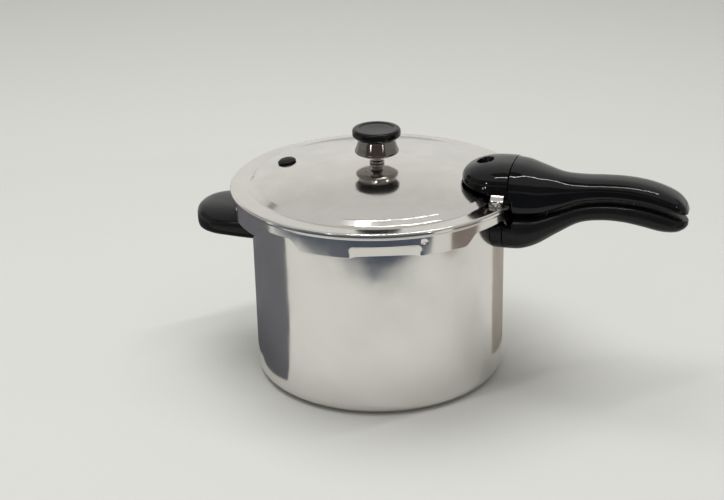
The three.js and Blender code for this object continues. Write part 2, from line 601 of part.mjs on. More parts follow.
const hoodScrewRoom = solid(rod(SCREW_R + GAP, FLANGE_Z, STRAP_Z + STRAP_T + 9, TINY)
  .translate(HOOD_SCREW_X, 0, 0));
part('cover_handle_hood',
  solid(swept(hoodStations, { topPower: 2.6, bottomPower: 6, waist: 0.3, along: 18 }))
    .subtract(wasm.Manifold.union(
      [crownRoom, bridgeSlot, strapSlot, sightHole, hoodScrewRoom])), blackGloss);

// ---- Long handle on the cover ----------------------------------------------------------

const GRIP_START = HOOD_END + GAP;
const gripStation = (share, halfW, under, top) => [
  GRIP_START + share * (HANDLE_END - GRIP_START), halfW, FLANGE_Z + under, HOOD_Z + top];
const gripStations = [
  gripStation(0, HOOD_HALF_W - 0.5, -11.5, 0),
  gripStation(0.07, HOOD_HALF_W - 1.5, -11.5, -1.2),
  gripStation(0.17, HANDLE_HALF_W - 4, -10.8, -5),
  gripStation(0.28, HANDLE_HALF_W - 10.5, -6.4, -8.6),
  gripStation(0.4, GRIP_HALF_W + 0.5, 0.5, -9.4),
  gripStation(0.52, GRIP_HALF_W, 3.8, -8.6),
  gripStation(0.64, GRIP_HALF_W, 4.3, -8.4),
  gripStation(0.76, GRIP_HALF_W, 3, -10.2),
  gripStation(0.86, GRIP_HALF_W - 0.5, 0.2, -14),
  gripStation(0.94, GRIP_HALF_W - 2, -3.2, -19.4),
  gripStation(0.985, GRIP_HALF_W - 5.5, -5, -26),
  gripStation(1, GRIP_HALF_W - 10, -5, -30.5),
];
const flangeRoom = solid(rod(CLEAR_OF_FLANGE, POT_H - 20, FLANGE_Z + 0.7, BIG));
const gripScrewRoom = [
  rod(SCREW_R + GAP, POT_H - 10, STRAP_Z + STRAP_T + 4, TINY),
  rod(SCREW_HEAD_R + GAP, POT_H - 10, FLANGE_Z - 2, TINY),
].map((made) => solid(made.translate(GRIP_SCREW_X, 0, 0)));
part('cover_handle',
  solid(swept(gripStations, { topPower: 2.6, bottomPower: 6, waist: 0.42 }))
    .subtract(wasm.Manifold.union([flangeRoom, strapSlot, ...gripScrewRoom])), blackGloss);

const gripScrewHead = FLANGE_Z - 2 - GAP;
part('cover_handle_screw',
  headed(SCREW_R, STRAP_Z + STRAP_T + 3 - gripScrewHead, SCREW_HEAD_R, 2.4)
    .translate(GRIP_SCREW_X, 0, gripScrewHead), steel);
const hoodScrewHead = STRAP_Z - GAP;
part('hood_screw',
  headed(SCREW_R, STRAP_T + GAP + 7, SCREW_HEAD_R, 2)
    .translate(HOOD_SCREW_X, 0, hoodScrewHead), steel);

// ---- Sealing ring ----------------------------------------------------------------------

const ringOut = SKIRT_BORE_R - 0.8;
const ringTop = RING_Z + RING_T;
part('sealing_ring', turnedRing([
  [RING_INNER_R, RING_Z],
  [ringOut - 3.6, RING_Z],
  [ringOut, RING_Z + 2],
  [ringOut, ringTop - 1],
  [ringOut - 1, ringTop],
  [DOME_EDGE_R + RISER_RUN + 0.6, ringTop],
  [DOME_EDGE_R + RISER_RUN - 0.4, ringTop - 1.5],
  [DOME_EDGE_R + RISER_RUN - 0.4, RING_Z + 3],
  [RING_INNER_R, RING_Z + 1.6],
], BIG), greyRubber);

// ---- Vent pipe and pressure regulator --------------------------------------------------

const pipeTop = CROWN_Z + VENT_PIPE_H;
const underCrown = CROWN_Z - COVER_WALL;
part('vent_pipe', turnedRing([
  [VENT_PIPE_BORE_R, underCrown - 10],
  [VENT_PIPE_R, underCrown - 10],
  [VENT_PIPE_R, CROWN_Z + GAP],
  [VENT_PIPE_R + 2, CROWN_Z + GAP],
  [VENT_PIPE_R + 2, CROWN_Z + GAP + 1.8],
  [VENT_PIPE_R, CROWN_Z + GAP + 2.4],
  [VENT_PIPE_R, pipeTop - 2.2],
  [VENT_PIPE_R - 1.6, pipeTop],
  [VENT_PIPE_BORE_R, pipeTop],
]), steel);
const washerTop = underCrown - 0.45;
const pipeCollar = (outR, z0, z1, facets) => turnedRing([
  [VENT_PIPE_R + 0.2, z0], [outR, z0], [outR, z1], [VENT_PIPE_R + 0.2, z1]], facets);
part('vent_pipe_washer', pipeCollar(VENT_PIPE_R + 4, washerTop - 2.2, washerTop, SMALL), blackRubber);
const nutHole = solid(rod(VENT_PIPE_R + 0.2, underCrown - 20, underCrown));
const nut = new THREE.CylinderGeometry(VENT_PIPE_R + 3.4, VENT_PIPE_R + 3.4, 4, 6)
  .rotateX(Math.PI / 2)
  .translate(0, 0, washerTop - 2.2 - GAP - 2);
part('vent_pipe_nut', solid(nut).subtract(nutHole), steel);

const weightZ = CROWN_Z + REGULATOR_LIFT;
const weightTop = weightZ + WEIGHT_H;
part('regulator_weight', turnedRing([
  [WEIGHT_BORE_R, weightZ],
  [WEIGHT_R - 2, weightZ],
  [WEIGHT_R, weightZ + 1.2],
  [WEIGHT_R, weightZ + 3.2],
  [WEIGHT_R - 1.6, weightZ + 6.5],
  [WEIGHT_TOP_R, weightTop - 3],
  [WEIGHT_TOP_R, weightTop],
  [WEIGHT_BORE_R, weightTop],
], 30), chrome);
part('regulator_needle', turned([
  [0, pipeTop + GAP],
  [VENT_PIPE_BORE_R, pipeTop + GAP + 0.8],
  [WEIGHT_BORE_R - GAP, pipeTop + GAP + 1.4],
  [WEIGHT_BORE_R - GAP, weightTop],
  [0, weightTop],
]), steel);
const capZ = weightTop + GAP;
part('regulator_cap', turned([
  [0, capZ],
  [CAP_R - 2, capZ],
  [CAP_R, capZ + 1.6],
  ...arc(CAP_R - 3, capZ + CAP_H - 3, 3, 0, 90, 5),
  [CAP_R - 5, capZ + CAP_H - 0.2],
  [0, capZ + CAP_H - 1],
], 30), blackGloss);

// ---- Overpressure plug -----------------------------------------------------------------

part('overpressure_plug', onCrown(turned([
  [0, -COVER_WALL - 3],
  [PLUG_NECK_R + 2, -COVER_WALL - 3],
  [PLUG_NECK_R + 2, -COVER_WALL - 0.5],
  [PLUG_NECK_R, -COVER_WALL - 0.5],
  [PLUG_NECK_R, 0.4],
  [PLUG_R, 0.4],
  [PLUG_R, 1.2],
  [PLUG_R - 1.2, 2.6],
  [PLUG_R - 4, 3.6],
  [0, 4],
]), PLUG_AT), blackRubber);

// ---- Air vent lock: a pin that steam pushes up through the hood's hole -----------------

const lockTop = HOOD_Z - 7.5; // top of the pin while the cooker is cold
const bushZ = crownAt(LOCK_AT) - COVER_WALL - 1.3;
const onLock = (geometry) => geometry.translate(LOCK_AT, 0, 0);
part('vent_lock_bush', onLock(turnedRing([
  [LOCK_PIN_R + GAP, bushZ],
  [lockHoleInCover - GAP, bushZ],
  [lockHoleInCover - GAP, bushZ + 6],
  [LOCK_PIN_R + GAP, bushZ + 6],
])), steel);
const gasketTop = bushZ - LOCK_TRAVEL - 0.4;
const cupTop = gasketTop - 1.9 - GAP;
part('vent_lock_pin', onLock(rod(LOCK_PIN_R, cupTop - 2.2, lockTop)), steel);
part('vent_lock_gasket', onLock(turnedRing([
  [LOCK_PIN_R + 0.1, gasketTop - 1.9],
  [LOCK_PIN_R + 3.2, gasketTop - 1.9],
  [LOCK_PIN_R + 3.2, gasketTop],
  [LOCK_PIN_R + 0.1, gasketTop],
])), blackRubber);
part('vent_lock_cup', onLock(turned([
  [0, cupTop - 3.6],
  [LOCK_PIN_R + 2.4, cupTop - 3.6],
  [LOCK_PIN_R + 3.4, cupTop - 2.6],
  [LOCK_PIN_R + 3.4, cupTop],
  [LOCK_PIN_R + GAP, cupTop],
  [LOCK_PIN_R + GAP, cupTop - 2.2 - GAP],
  [0, cupTop - 2.2 - GAP],
])), steel);

// ---- Cooking rack, standing on its feet inside the pot ---------------------------------

function makeRack() {
  const plateZ = POT_BASE + GAP + RACK_FOOT_H;
  const plate = solid(turned([
    [0, plateZ],
    [RACK_R - 2.4, plateZ],
    [RACK_R - 1.2, plateZ - 1.4],
    [RACK_R, plateZ - 1],
    [RACK_R, plateZ + 0.6],
    [RACK_R - 1.2, plateZ + RACK_T],
    [0, plateZ + RACK_T],
  ], BIG));
  const ring = (share, count, turn) => Array.from({ length: count }, (_, i) => {
    const a = degrees(turn + i * 360 / count);
    return [RACK_R * share * Math.cos(a), RACK_R * share * Math.sin(a)];
  });
  const holeAt = [...ring(0.3, 6, 0), ...ring(0.566, 6, 30), ...ring(0.832, 6, 0)];
  const holes = holeAt.map(([x, y]) => solid(
    rod(RACK_HOLE_R, plateZ - 3, plateZ + 4, TINY).translate(x, y, 0)));
  const centre = solid(rod(RACK_CENTRE_HOLE_R, plateZ - 3, plateZ + 4));
  const footAt = ring(0.7, 3, 15);
  const foot = (grow, top) => turned([
    [0, plateZ - RACK_FOOT_H + RACK_T - grow],
    [RACK_FOOT_R - RACK_T + grow, plateZ - RACK_FOOT_H + RACK_T - grow],
    [RACK_FOOT_R + grow, plateZ],
    [RACK_FOOT_R + grow + 0.6, top],
    [0, top],
  ], TINY);
  const feet = footAt.map(([x, y]) => solid(foot(RACK_T, plateZ + 0.5).translate(x, y, 0)));
  const dimples = footAt.map(([x, y]) => solid(foot(0, plateZ + 3).translate(x, y, 0)));
  return plate.subtract(wasm.Manifold.union([...holes, centre]))
    .add(wasm.Manifold.union(feet))
    .subtract(wasm.Manifold.union(dimples));
}
part('cooking_rack', makeRack(), satin);

export default cooker;
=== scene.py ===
"""The finished pieces, finishes and studio of a stovetop pressure cooker.

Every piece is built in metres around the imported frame: +Z up, the origin in the middle of the
base, +X out along the two long handles.
"""

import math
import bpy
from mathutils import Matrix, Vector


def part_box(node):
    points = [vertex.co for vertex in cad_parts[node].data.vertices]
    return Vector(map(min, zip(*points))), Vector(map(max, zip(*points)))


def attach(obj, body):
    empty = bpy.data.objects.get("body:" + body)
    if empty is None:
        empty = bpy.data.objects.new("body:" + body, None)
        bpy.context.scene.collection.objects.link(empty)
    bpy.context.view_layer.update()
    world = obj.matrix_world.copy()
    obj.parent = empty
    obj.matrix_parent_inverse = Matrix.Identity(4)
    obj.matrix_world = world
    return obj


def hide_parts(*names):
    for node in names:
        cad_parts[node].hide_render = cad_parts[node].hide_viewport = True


bl_info = {
    "name": "Stovetop Pressure Cooker",
    "version": (1, 0, 0),
    "blender": (4, 5, 0),
    "location": "3D View > Sidebar > Cooker",
    "description": "Builds the pieces, finishes and studio of a stovetop pressure cooker",
    "category": "Object",
}

from functools import cache

import bmesh
import bpy
from bpy.props import FloatProperty, FloatVectorProperty, PointerProperty
from mathutils import Matrix, Vector

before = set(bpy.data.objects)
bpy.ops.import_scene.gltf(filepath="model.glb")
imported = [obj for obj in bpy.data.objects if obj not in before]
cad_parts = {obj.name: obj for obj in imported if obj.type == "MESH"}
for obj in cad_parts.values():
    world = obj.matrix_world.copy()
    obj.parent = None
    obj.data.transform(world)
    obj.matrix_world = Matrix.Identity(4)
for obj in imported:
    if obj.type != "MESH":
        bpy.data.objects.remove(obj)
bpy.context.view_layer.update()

MM = 0.001
FULL_TURN = 2 * math.pi
BIG = 192  # facets round the pot, cover and ring
SMALL = 64  # facets round the fittings
BAYONETS = 4

LOW, HIGH = 0, 1
X, Y, Z = range(3)

MERGE = 1e-6  # vertices closer than this become one
SKIN_MERGE = 2e-5  # the same, on the swept handle pieces
ROOM_MERGE = 1e-5  # the same, on the floor and backdrop
NO_LENGTH = 1e-7  # edges shorter than this are dissolved
SMOOTH_BELOW = math.radians(35)  # edges that turn by less are shaded smooth

STRAIGHT = math.radians(89.5)  # half of a corner that needs no fillet
FILLET_REACH = 0.49  # most of a straight stretch that one fillet may take
FILLET_GUARD = 1.03  # place of the extra point beside a fillet, as a share of its reach

# Top power, bottom power and waist of each handle's superellipse section
UPPER_SECTION = (2.6, 6, 0.42)
LOWER_SECTION = (5, 2.3, 0.62)
HELPER_SECTION = (3, 3, 0.5)
CROWDING = 0.55  # how far a skin's rows crowd together at both ends

CROWN_STEPS = 22
WALL_GAP = 0.3 * MM  # between the pot's wall and the pieces that stand against it
CARD_LIFT = 1 * MM  # height of the floor cards
BUMP_DISTANCE = 0.2 * MM  # what a bump of height 1 stands for


@cache
def cad_box(node):
    """The lowest and highest corner of a CAD node, at rest."""
    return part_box(node)


def edge(node, end, axis):
    """Where a CAD node begins (LOW) or ends (HIGH) along an axis, at rest."""
    return cad_box(node)[end][axis]


def span(node, axis):
    """Where a CAD node begins and ends along an axis, at rest."""
    return edge(node, LOW, axis), edge(node, HIGH, axis)


def middle_of(node, axis):
    """Halfway along a CAD node on an axis, at rest."""
    return sum(span(node, axis)) / 2


def radius_of(node):
    """Half of a CAD node's width along X, at rest."""
    low, high = span(node, X)
    return (high - low) / 2


# ---- Settings ---------------------------------------------------------------------------


def length(name, description, default):
    return FloatProperty(name=name, description=description, default=default,
                         min=-10.0, max=10.0, precision=5, unit="LENGTH", subtype="DISTANCE")


def angle(name, description, default):
    return FloatProperty(name=name, description=description, default=math.radians(default),
                         subtype="ANGLE", unit="ROTATION")


def colour(name, description, default):
    return FloatVectorProperty(name=name, description=description, default=default,
                               size=3, min=0.0, max=1.0, subtype="COLOR")


class PotSizes(bpy.types.PropertyGroup):
    wall_radius: length("Wall radius", "Outside of the pot's wall", 108 * MM)
    wall: length("Wall", "Thickness of the pot's wall", 2.4 * MM)
    base: length("Base", "Thickness of the pot's base", 3 * MM)
    corner: length("Corner", "Radius where the wall turns into the base", 16 * MM)
    rim_flare: length("Rim flare", "How far the rim stands out from the wall", 3.5 * MM)
    rim_height: length("Rim height", "Depth of the flared rim", 5.5 * MM)
    lug_reach: length("Lug reach", "Bayonet lugs, out from the wall", 7 * MM)
    lug_thickness: length("Lug thickness", "Thickness of the bayonet lugs", 3 * MM)
    lug_drop: length("Lug drop", "Top of the lugs below the rim", 4.5 * MM)
    lug_half_angle: angle("Lug half angle", "Half the sweep of one lug", 27)
    bayonet_azimuth: angle("Bayonet azimuth", "From +X to the first locked bayonet", 19.4)


class CoverSizes(bpy.types.PropertyGroup):
    wall: length("Wall", "Thickness of the cover", 1.8 * MM)
    flange_radius: length("Flange radius", "Outside of the cover's flange", 125 * MM)
    flange_rise: length("Flange rise", "Flange's top face above the pot's rim", 10.5 * MM)
    flange_edge: length("Flange edge", "Rounding of the flange's edge", 2.5 * MM)
    skirt_set_in: length("Skirt set-in", "Skirt's outside, in from the flange", 2 * MM)
    skirt_deep: length("Deep skirt", "Deep stretches below the flange's face", 21.5 * MM)
    skirt_shallow: length("Shallow skirt", "Shallow stretches below the face", 12 * MM)
    deep_half_angle: angle("Deep half angle", "Half the sweep of a deep stretch", 31.5)
    slope_angle: angle("Slope angle", "Sweep over which the skirt's edge rises", 6.5)
    tab_half_width: length("Tab half width", "Half the width of a pressed-in tab", 28.7 * MM)
    tab_lean: length("Tab lean", "How far a tab leans in over its height", 3 * MM)
    tab_drop: length("Tab drop", "Tab's fold line below the pot's rim", 1.6 * MM)
    tab_round: length("Tab rounding", "Rounding of a tab's upper corners", 6 * MM)
    ledge_gap: length("Ledge gap", "Between the pot's rim and a tab's ledge", 1 * MM)
    crown_radius: length("Crown radius", "Radius of the crown's curve", 500 * MM)
    crown_edge: length("Crown edge", "Where the crown meets the riser", 104.5 * MM)
    riser_run: length("Riser run", "Width of the riser", 5.5 * MM)
    riser_rise: length("Riser rise", "Height of the riser", 4.2 * MM)


class HandleSizes(bpy.types.PropertyGroup):
    half_width: length("Half width", "Pot handle beside the pot", 29 * MM)
    grip_half_width: length("Grip half width", "Both handles along the grip", 16 * MM)
    hood_half_width: length("Hood half width", "Hood where it is widest", 31 * MM)
    hood_rise: length("Hood rise", "Hood's top above the flange's face", 27.5 * MM)
    sight_hole: length("Sight hole", "Radius of the hole over the vent lock", 6 * MM)
    seam: length("Seam", "Gap that shows between two handle pieces", 0.5 * MM)
    helper_half_width: length("Helper half width", "Helper handle beside the pot", 36 * MM)


class FittingSizes(bpy.types.PropertyGroup):
    pipe_radius: length("Pipe radius", "Outside of the vent pipe", 4.5 * MM)
    pipe_bore: length("Pipe bore", "Inside of the vent pipe", 1.3 * MM)
    weight_radius: length("Weight radius", "Widest part of the regulator's weight", 18.7 * MM)
    weight_top: length("Weight top", "Weight's radius under its cap", 15.2 * MM)
    cap_radius: length("Cap radius", "Outside of the regulator's cap", 20.5 * MM)
    plug_radius: length("Plug radius", "Outside of the overpressure plug", 7.9 * MM)
    screw_head: length("Screw head", "Radius of a handle screw's head", 4 * MM)
    rivet_head: length("Rivet head", "Radius of a rivet's head", 4.2 * MM)
    strap: length("Strap", "Thickness of the cover strap", 2 * MM)


class RackSizes(bpy.types.PropertyGroup):
    hole: length("Hole", "Radius of each hole but the middle one", 5.1 * MM)
    foot: length("Foot", "Radius of each pressed foot", 3.6 * MM)


class FinishColours(bpy.types.PropertyGroup):
    aluminium: colour("Aluminium", "Polished pot and cover", (0.80, 0.785, 0.75))
    rack: colour("Rack", "Satin aluminium of the rack", (0.72, 0.76, 0.82))
    phenolic: colour("Phenolic", "Gloss black of the upper handle", (0.0035, 0.0035, 0.004))
    satin_phenolic: colour("Satin phenolic", "Lower handles", (0.0075, 0.0080, 0.0085))
    chrome: colour("Chrome", "Regulator's weight", (0.30, 0.28, 0.27))
    steel: colour("Steel", "Pipe, pin, screws and rivets", (0.56, 0.55, 0.53))
    black_rubber: colour("Black rubber", "Overpressure plug", (0.006, 0.006, 0.006))
    grey_rubber: colour("Grey rubber", "Sealing ring", (0.075, 0.082, 0.088))
    floor: colour("Floor", "Floor and backdrop", (0.57, 0.57, 0.55))


class StudioSettings(bpy.types.PropertyGroup):
    camera_distance: length("Camera distance", "From the camera to its aim", 1.3)
    camera_azimuth: angle("Camera azimuth", "Round Z from looking along +Y", 17.69)
    camera_elevation: angle("Camera elevation", "Above the horizon", 22.8)
    camera_roll: angle("Camera roll", "Turn about the line of sight", -1.3)
    aim: FloatVectorProperty(name="Aim", description="Point that the camera looks at",
                             default=(-0.0153, 0.0007, 0.1023), size=3, unit="LENGTH",
                             subtype="XYZ")
    lens: FloatProperty(name="Lens", description="Focal length in millimetres",
                        default=74.2, min=1.0)
    room_radius: length("Room radius", "Radius of the round backdrop", 3.4)
    card_glow: FloatProperty(name="Card glow", description="Brightness of the pale cards",
                             default=0.20, min=0.0)
    key_power: FloatProperty(name="Key power", description="Overhead light in watts",
                             default=34.0, min=0.0)
    strip_power: FloatProperty(name="Strip power", description="Tube light in watts",
                               default=9.0, min=0.0)


SETTINGS = {
    "cooker_pot": PotSizes,
    "cooker_cover": CoverSizes,
    "cooker_handle": HandleSizes,
    "cooker_fitting": FittingSizes,
    "cooker_rack": RackSizes,
    "cooker_colours": FinishColours,
    "cooker_studio": StudioSettings,
}


# ---- Sizes that follow ------------------------------------------------------------------


def pot_top():
    return edge("pot_body", HIGH, Z)


def flange_face():
    """Height of the flange's top face."""
    return pot_top() + bpy.context.scene.cooker_cover.flange_rise


def crown_height(radius):
    """Height of the crown's outer skin at a distance from the axis."""
    cover = bpy.context.scene.cooker_cover

    def sag(r):
        return cover.crown_radius - math.sqrt(cover.crown_radius ** 2 - r ** 2)

    return flange_face() + cover.riser_rise + sag(cover.crown_edge) - sag(radius)


def bayonet(k):
    """Azimuth of the middle of bayonet k."""
    return bpy.context.scene.cooker_pot.bayonet_azimuth + k * FULL_TURN / BAYONETS


def nearest_bayonet(azimuth):
    """Azimuth of the bayonet that lies closest to an azimuth."""
    return bayonet(round((azimuth - bayonet(0)) / (FULL_TURN / BAYONETS)))


def smooth(value, start, end):
    """0 before start, 1 after end, and a smooth rise between them."""
    t = min(max((value - start) / (end - start), 0.0), 1.0)
    return t * t * (3 - 2 * t)


# ---- Outlines ---------------------------------------------------------------------------


def filleted(points, closed=False, steps=6):
    """A [radius, height] outline from (radius, height, fillet) corners.

    Each fillet is an arc between its two straight neighbours, with one more point on either
    side of it so that the straight stretches are shaded flat.
    """
    count = len(points)
    outline = []
    for i, (r, z, *fillet) in enumerate(points):
        here = Vector((r, z))
        radius = fillet[0] if fillet else 0.0
        ends = not closed and i in (0, count - 1)
        if ends or radius <= 0.0:
            outline.append(here)
            continue
        back = Vector(points[i - 1][:2]) - here
        ahead = Vector(points[(i + 1) % count][:2]) - here
        half = back.angle(ahead) / 2
        if half > STRAIGHT:
            outline.append(here)
            continue
        reach = min(radius / math.tan(half), FILLET_REACH * back.length,
                    FILLET_REACH * ahead.length)
        radius = reach * math.tan(half)
        back.normalize()
        ahead.normalize()
        centre = here + (back + ahead).normalized() * (radius / math.sin(half))
        start = here + back * reach - centre
        turn = math.pi - 2 * half
        sign = 1 if back.cross(ahead) < 0 else -1
        outline.append(here + back * reach * FILLET_GUARD)
        for k in range(steps + 1):
            outline.append(centre + Matrix.Rotation(sign * turn * k / steps, 2) @ start)
        outline.append(here + ahead * reach * FILLET_GUARD)
    return [(p.x, p.y) for p in outline]


# ---- Mesh helpers -----------------------------------------------------------------------


def turn_outline(bm, outline, facets=SMALL, closed=False, start=0.0, sweep=FULL_TURN):
    """Spins an outline round Z into bm and returns its new vertices.

    A whole turn is spun in part and then doubled until it closes.
    """
    before = {*bm.verts, *bm.edges, *bm.faces}
    verts = [bm.verts.new((r, 0, z)) for r, z in outline]
    pairs = list(zip(verts, verts[1:]))
    if closed:
        pairs.append((verts[-1], verts[0]))
    edges = [bm.edges.new(pair) for pair in pairs]
    bmesh.ops.rotate(bm, verts=verts, cent=(0, 0, 0), matrix=Matrix.Rotation(start, 3, "Z"))
    whole = sweep >= FULL_TURN
    doublings = 0
    while whole and facets % 2 == 0 and facets > 12:
        facets //= 2
        sweep /= 2
        doublings += 1
    last = bmesh.ops.spin(bm, geom=verts + edges, cent=(0, 0, 0), axis=(0, 0, 1),
                          angle=sweep, steps=facets)["geom_last"]
    made = [e for part in (bm.verts, bm.edges, bm.faces) for e in part if e not in before]
    for _ in range(doublings):
        copy = bmesh.ops.duplicate(bm, geom=made)["geom"]
        moved = [e for e in copy if isinstance(e, bmesh.types.BMVert)]
        bmesh.ops.rotate(bm, verts=moved, cent=(0, 0, 0),
                         matrix=Matrix.Rotation(sweep, 3, "Z"))
        made += copy
        sweep *= 2
    if whole:
        new = [e for e in made if isinstance(e, bmesh.types.BMVert)]
        bmesh.ops.remove_doubles(bm, verts=new, dist=MERGE)
    else:
        for loop in (edges, [e for e in last if isinstance(e, bmesh.types.BMEdge)]):
            bmesh.ops.contextual_create(bm, geom=loop)
    return [v for v in bm.verts if v not in before]


def finish_mesh(bm, merge=MERGE):
    """Merges doubles, drops faces without area and turns every face outwards."""
    bmesh.ops.remove_doubles(bm, verts=bm.verts, dist=merge)
    bmesh.ops.dissolve_degenerate(bm, edges=bm.edges, dist=NO_LENGTH)
    bmesh.ops.recalc_face_normals(bm, faces=bm.faces)


def cut_away(bm, cutter):
    """Takes the cutter's solids out of bm with a Boolean modifier."""
    objects = []
    for name, part in (("uncut", bm), ("cutter", cutter)):
        mesh = bpy.data.meshes.new(name)
        part.to_mesh(mesh)
        objects.append(bpy.data.objects.new(name, mesh))
        bpy.context.scene.collection.objects.link(objects[-1])
    cutter.free()
    uncut, tool = objects
    boolean = uncut.modifiers.new("Holes", "BOOLEAN")
    boolean.operation = "DIFFERENCE"
    boolean.solver = "EXACT"
    boolean.object = tool
    done = uncut.evaluated_get(bpy.context.evaluated_depsgraph_get())
    bm.clear()
    bm.from_mesh(done.to_mesh())
    done.to_mesh_clear()
    for obj in objects:
        mesh = obj.data
        bpy.data.objects.remove(obj)
        bpy.data.meshes.remove(mesh)


def bevel_edges(bm, offset, segments=3, limit=math.radians(30)):
    """Rounds every edge that turns by more than a limit."""
    sharp = [e for e in bm.edges if e.is_manifold and e.calc_face_angle() > limit]
    bmesh.ops.bevel(bm, geom=sharp, offset=offset, offset_type="OFFSET", segments=segments,
                    profile=0.5, affect="EDGES", material=-1, clamp_overlap=True)


def piece(name, bm, body, slot, nodes, finish=None):
    """Makes bm an object that rides on a body and stands for CAD nodes."""
    mesh = bpy.data.meshes.new(name)
    bm.to_mesh(mesh)
    bm.free()
    made = bpy.data.objects.new(name, mesh)
    bpy.context.scene.collection.objects.link(made)
    mesh.shade_smooth()
    mesh.set_sharp_from_angle(angle=SMOOTH_BELOW)
    made.data.materials.append(finish_of(finish or slot))
    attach(made, body)
    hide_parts(*nodes)


def turned_piece(name, corners, body, slot, node, facets=SMALL, closed=False, at=None, steps=6,
                 finish=None):
    """Makes a piece of one filleted outline, turned round Z and then moved by a matrix."""
    bm = bmesh.new()
    turn_outline(bm, filleted(corners, closed, steps), facets, closed)
    finish_mesh(bm)
    if at:
        bmesh.ops.transform(bm, matrix=at, verts=bm.verts)
    piece(name, bm, body, slot, [node], finish)


def slotted_head(bm, radius, height, shank, shank_radius):
    """A domed screw head below z = 0 with a cross recess, and its shank above."""
    outline = filleted([
        (0, -height), (0.8 * radius, -0.75 * height, 0.3 * radius),
        (radius, -0.2 * height, 0.1 * radius), (radius, 0, 0.2 * MM), (shank_radius, 0),
        (shank_radius, shank), (0, shank)])
    turn_outline(bm, outline, 32)
    for v in bm.verts:
        if v.co.z > -0.5 * height:
            continue
        arm = min(abs(v.co.x), abs(v.co.y)) < 0.16 * radius
        if arm and v.co.xy.length < 0.62 * radius:
            v.co.z += 0.45 * height


def wrap(value):
    """An angle brought to between minus and plus half a turn."""
    return (value + math.pi) % FULL_TURN - math.pi


def spline(values, t):
    """A smooth curve through (place, value) pairs, read at place t."""
    for i in range(len(values) - 1):
        if t <= values[i + 1][0] or i == len(values) - 2:
            break
    (t1, v1), (t2, v2) = values[i], values[i + 1]
    t0, v0 = values[i - 1] if i else (2 * t1 - t2, 2 * v1 - v2)
    t3, v3 = values[i + 2] if i + 2 < len(values) else (2 * t2 - t1, 2 * v2 - v1)
    slope1 = (v2 - v0) / (t2 - t0)
    slope2 = (v3 - v1) / (t3 - t1)
    width = t2 - t1
    u = min(max((t - t1) / width, 0.0), 1.0)
    return ((2 * u ** 3 - 3 * u ** 2 + 1) * v1 + (u ** 3 - 2 * u ** 2 + u) * width * slope1
            + (3 * u ** 2 - 2 * u ** 3) * v2 + (u ** 3 - u ** 2) * width * slope2)


def bent(value, power):
    """A sine or cosine drawn out so that a circle becomes a superellipse."""
    return math.copysign(abs(value) ** (2 / power), value)


def swept_skin(stations, x0, x1, section, around=96, along=120):
    """A closed skin that follows stations (share, half width, underside, top) along X.

    Its section is (top power, bottom power, waist): a superellipse whose halves have powers of
    their own and whose widest level lies at the share `waist` of its height.
    """
    top_power, bottom_power, waist = section
    columns = [[(s[0], s[k]) for s in stations] for k in (1, 2, 3)]
    bm = bmesh.new()
    grid = bmesh.ops.create_grid(bm, x_segments=along, y_segments=around, size=1.0)["verts"]
    for v in grid:
        t = (v.co.x + 1) / 2
        # rows crowd together at both ends, where the skin turns fastest
        t = t - math.sin(FULL_TURN * t) / FULL_TURN * CROWDING
        a = (v.co.y + 1) * math.pi
        half, low, high = (spline(column, t) for column in columns)
        level = low + (high - low) * waist
        up = math.sin(a)
        power = top_power if up > 0 else bottom_power
        reach = high - level if up > 0 else level - low
        v.co = (x0 + t * (x1 - x0), half * bent(math.cos(a), power),
                level + reach * bent(up, power))
    finish_mesh(bm)
    ends = [e for e in bm.edges if e.is_boundary]
    bmesh.ops.holes_fill(bm, edges=ends, sides=0)
    bmesh.ops.recalc_face_normals(bm, faces=bm.faces)
    return bm


# ---- Finishes ---------------------------------------------------------------------------


def node(tree, kind, inputs=None, **settings):
    """Adds a node, sets its attributes, and links or fills its named inputs."""
    made = tree.nodes.new(kind)
    for key, value in settings.items():
        setattr(made, key, value)
    for key, value in (inputs or {}).items():
        socket = made.inputs[key]
        if isinstance(value, bpy.types.NodeSocket):
            tree.links.new(value, socket)
        else:
            socket.default_value = value
    return made


def math_node(tree, operation, a, b=0.0, clamp=False):
    return node(tree, "ShaderNodeMath", {0: a, 1: b}, operation=operation,
                use_clamp=clamp).outputs[0]


def mapped(tree, value, low, high, to_low=0.0, to_high=1.0):
    """A value brought from one range to another, held inside it."""
    return node(tree, "ShaderNodeMapRange", {
        "Value": value, "From Min": low, "From Max": high, "To Min": to_low,
        "To Max": to_high}, clamp=True).outputs["Result"]


def noise(tree, vector, scale, detail, roughness=0.55):
    return node(tree, "ShaderNodeTexNoise", {
        "Vector": vector, "Scale": scale, "Detail": detail,
        "Roughness": roughness}).outputs["Fac"]


def stretched(tree, vector, scale, turn):
    """Coordinates turned about Z and stretched, for lines that run one way."""
    return node(tree, "ShaderNodeMapping", {
        "Vector": vector, "Rotation": (turn * 0.6, turn * 0.4, turn),
        "Scale": scale}).outputs["Vector"]


def new_group(name, inputs, outputs):
    """A shader node group with named float inputs and outputs."""
    tree = bpy.data.node_groups.new(name, "ShaderNodeTree")
    for label, default in inputs:
        socket = tree.interface.new_socket(name=label, in_out="INPUT",
                                           socket_type="NodeSocketFloat")
        socket.default_value = default
    for label in outputs:
        tree.interface.new_socket(name=label, in_out="OUTPUT", socket_type="NodeSocketFloat")
    return tree, tree.nodes.new("NodeGroupInput"), tree.nodes.new("NodeGroupOutput")


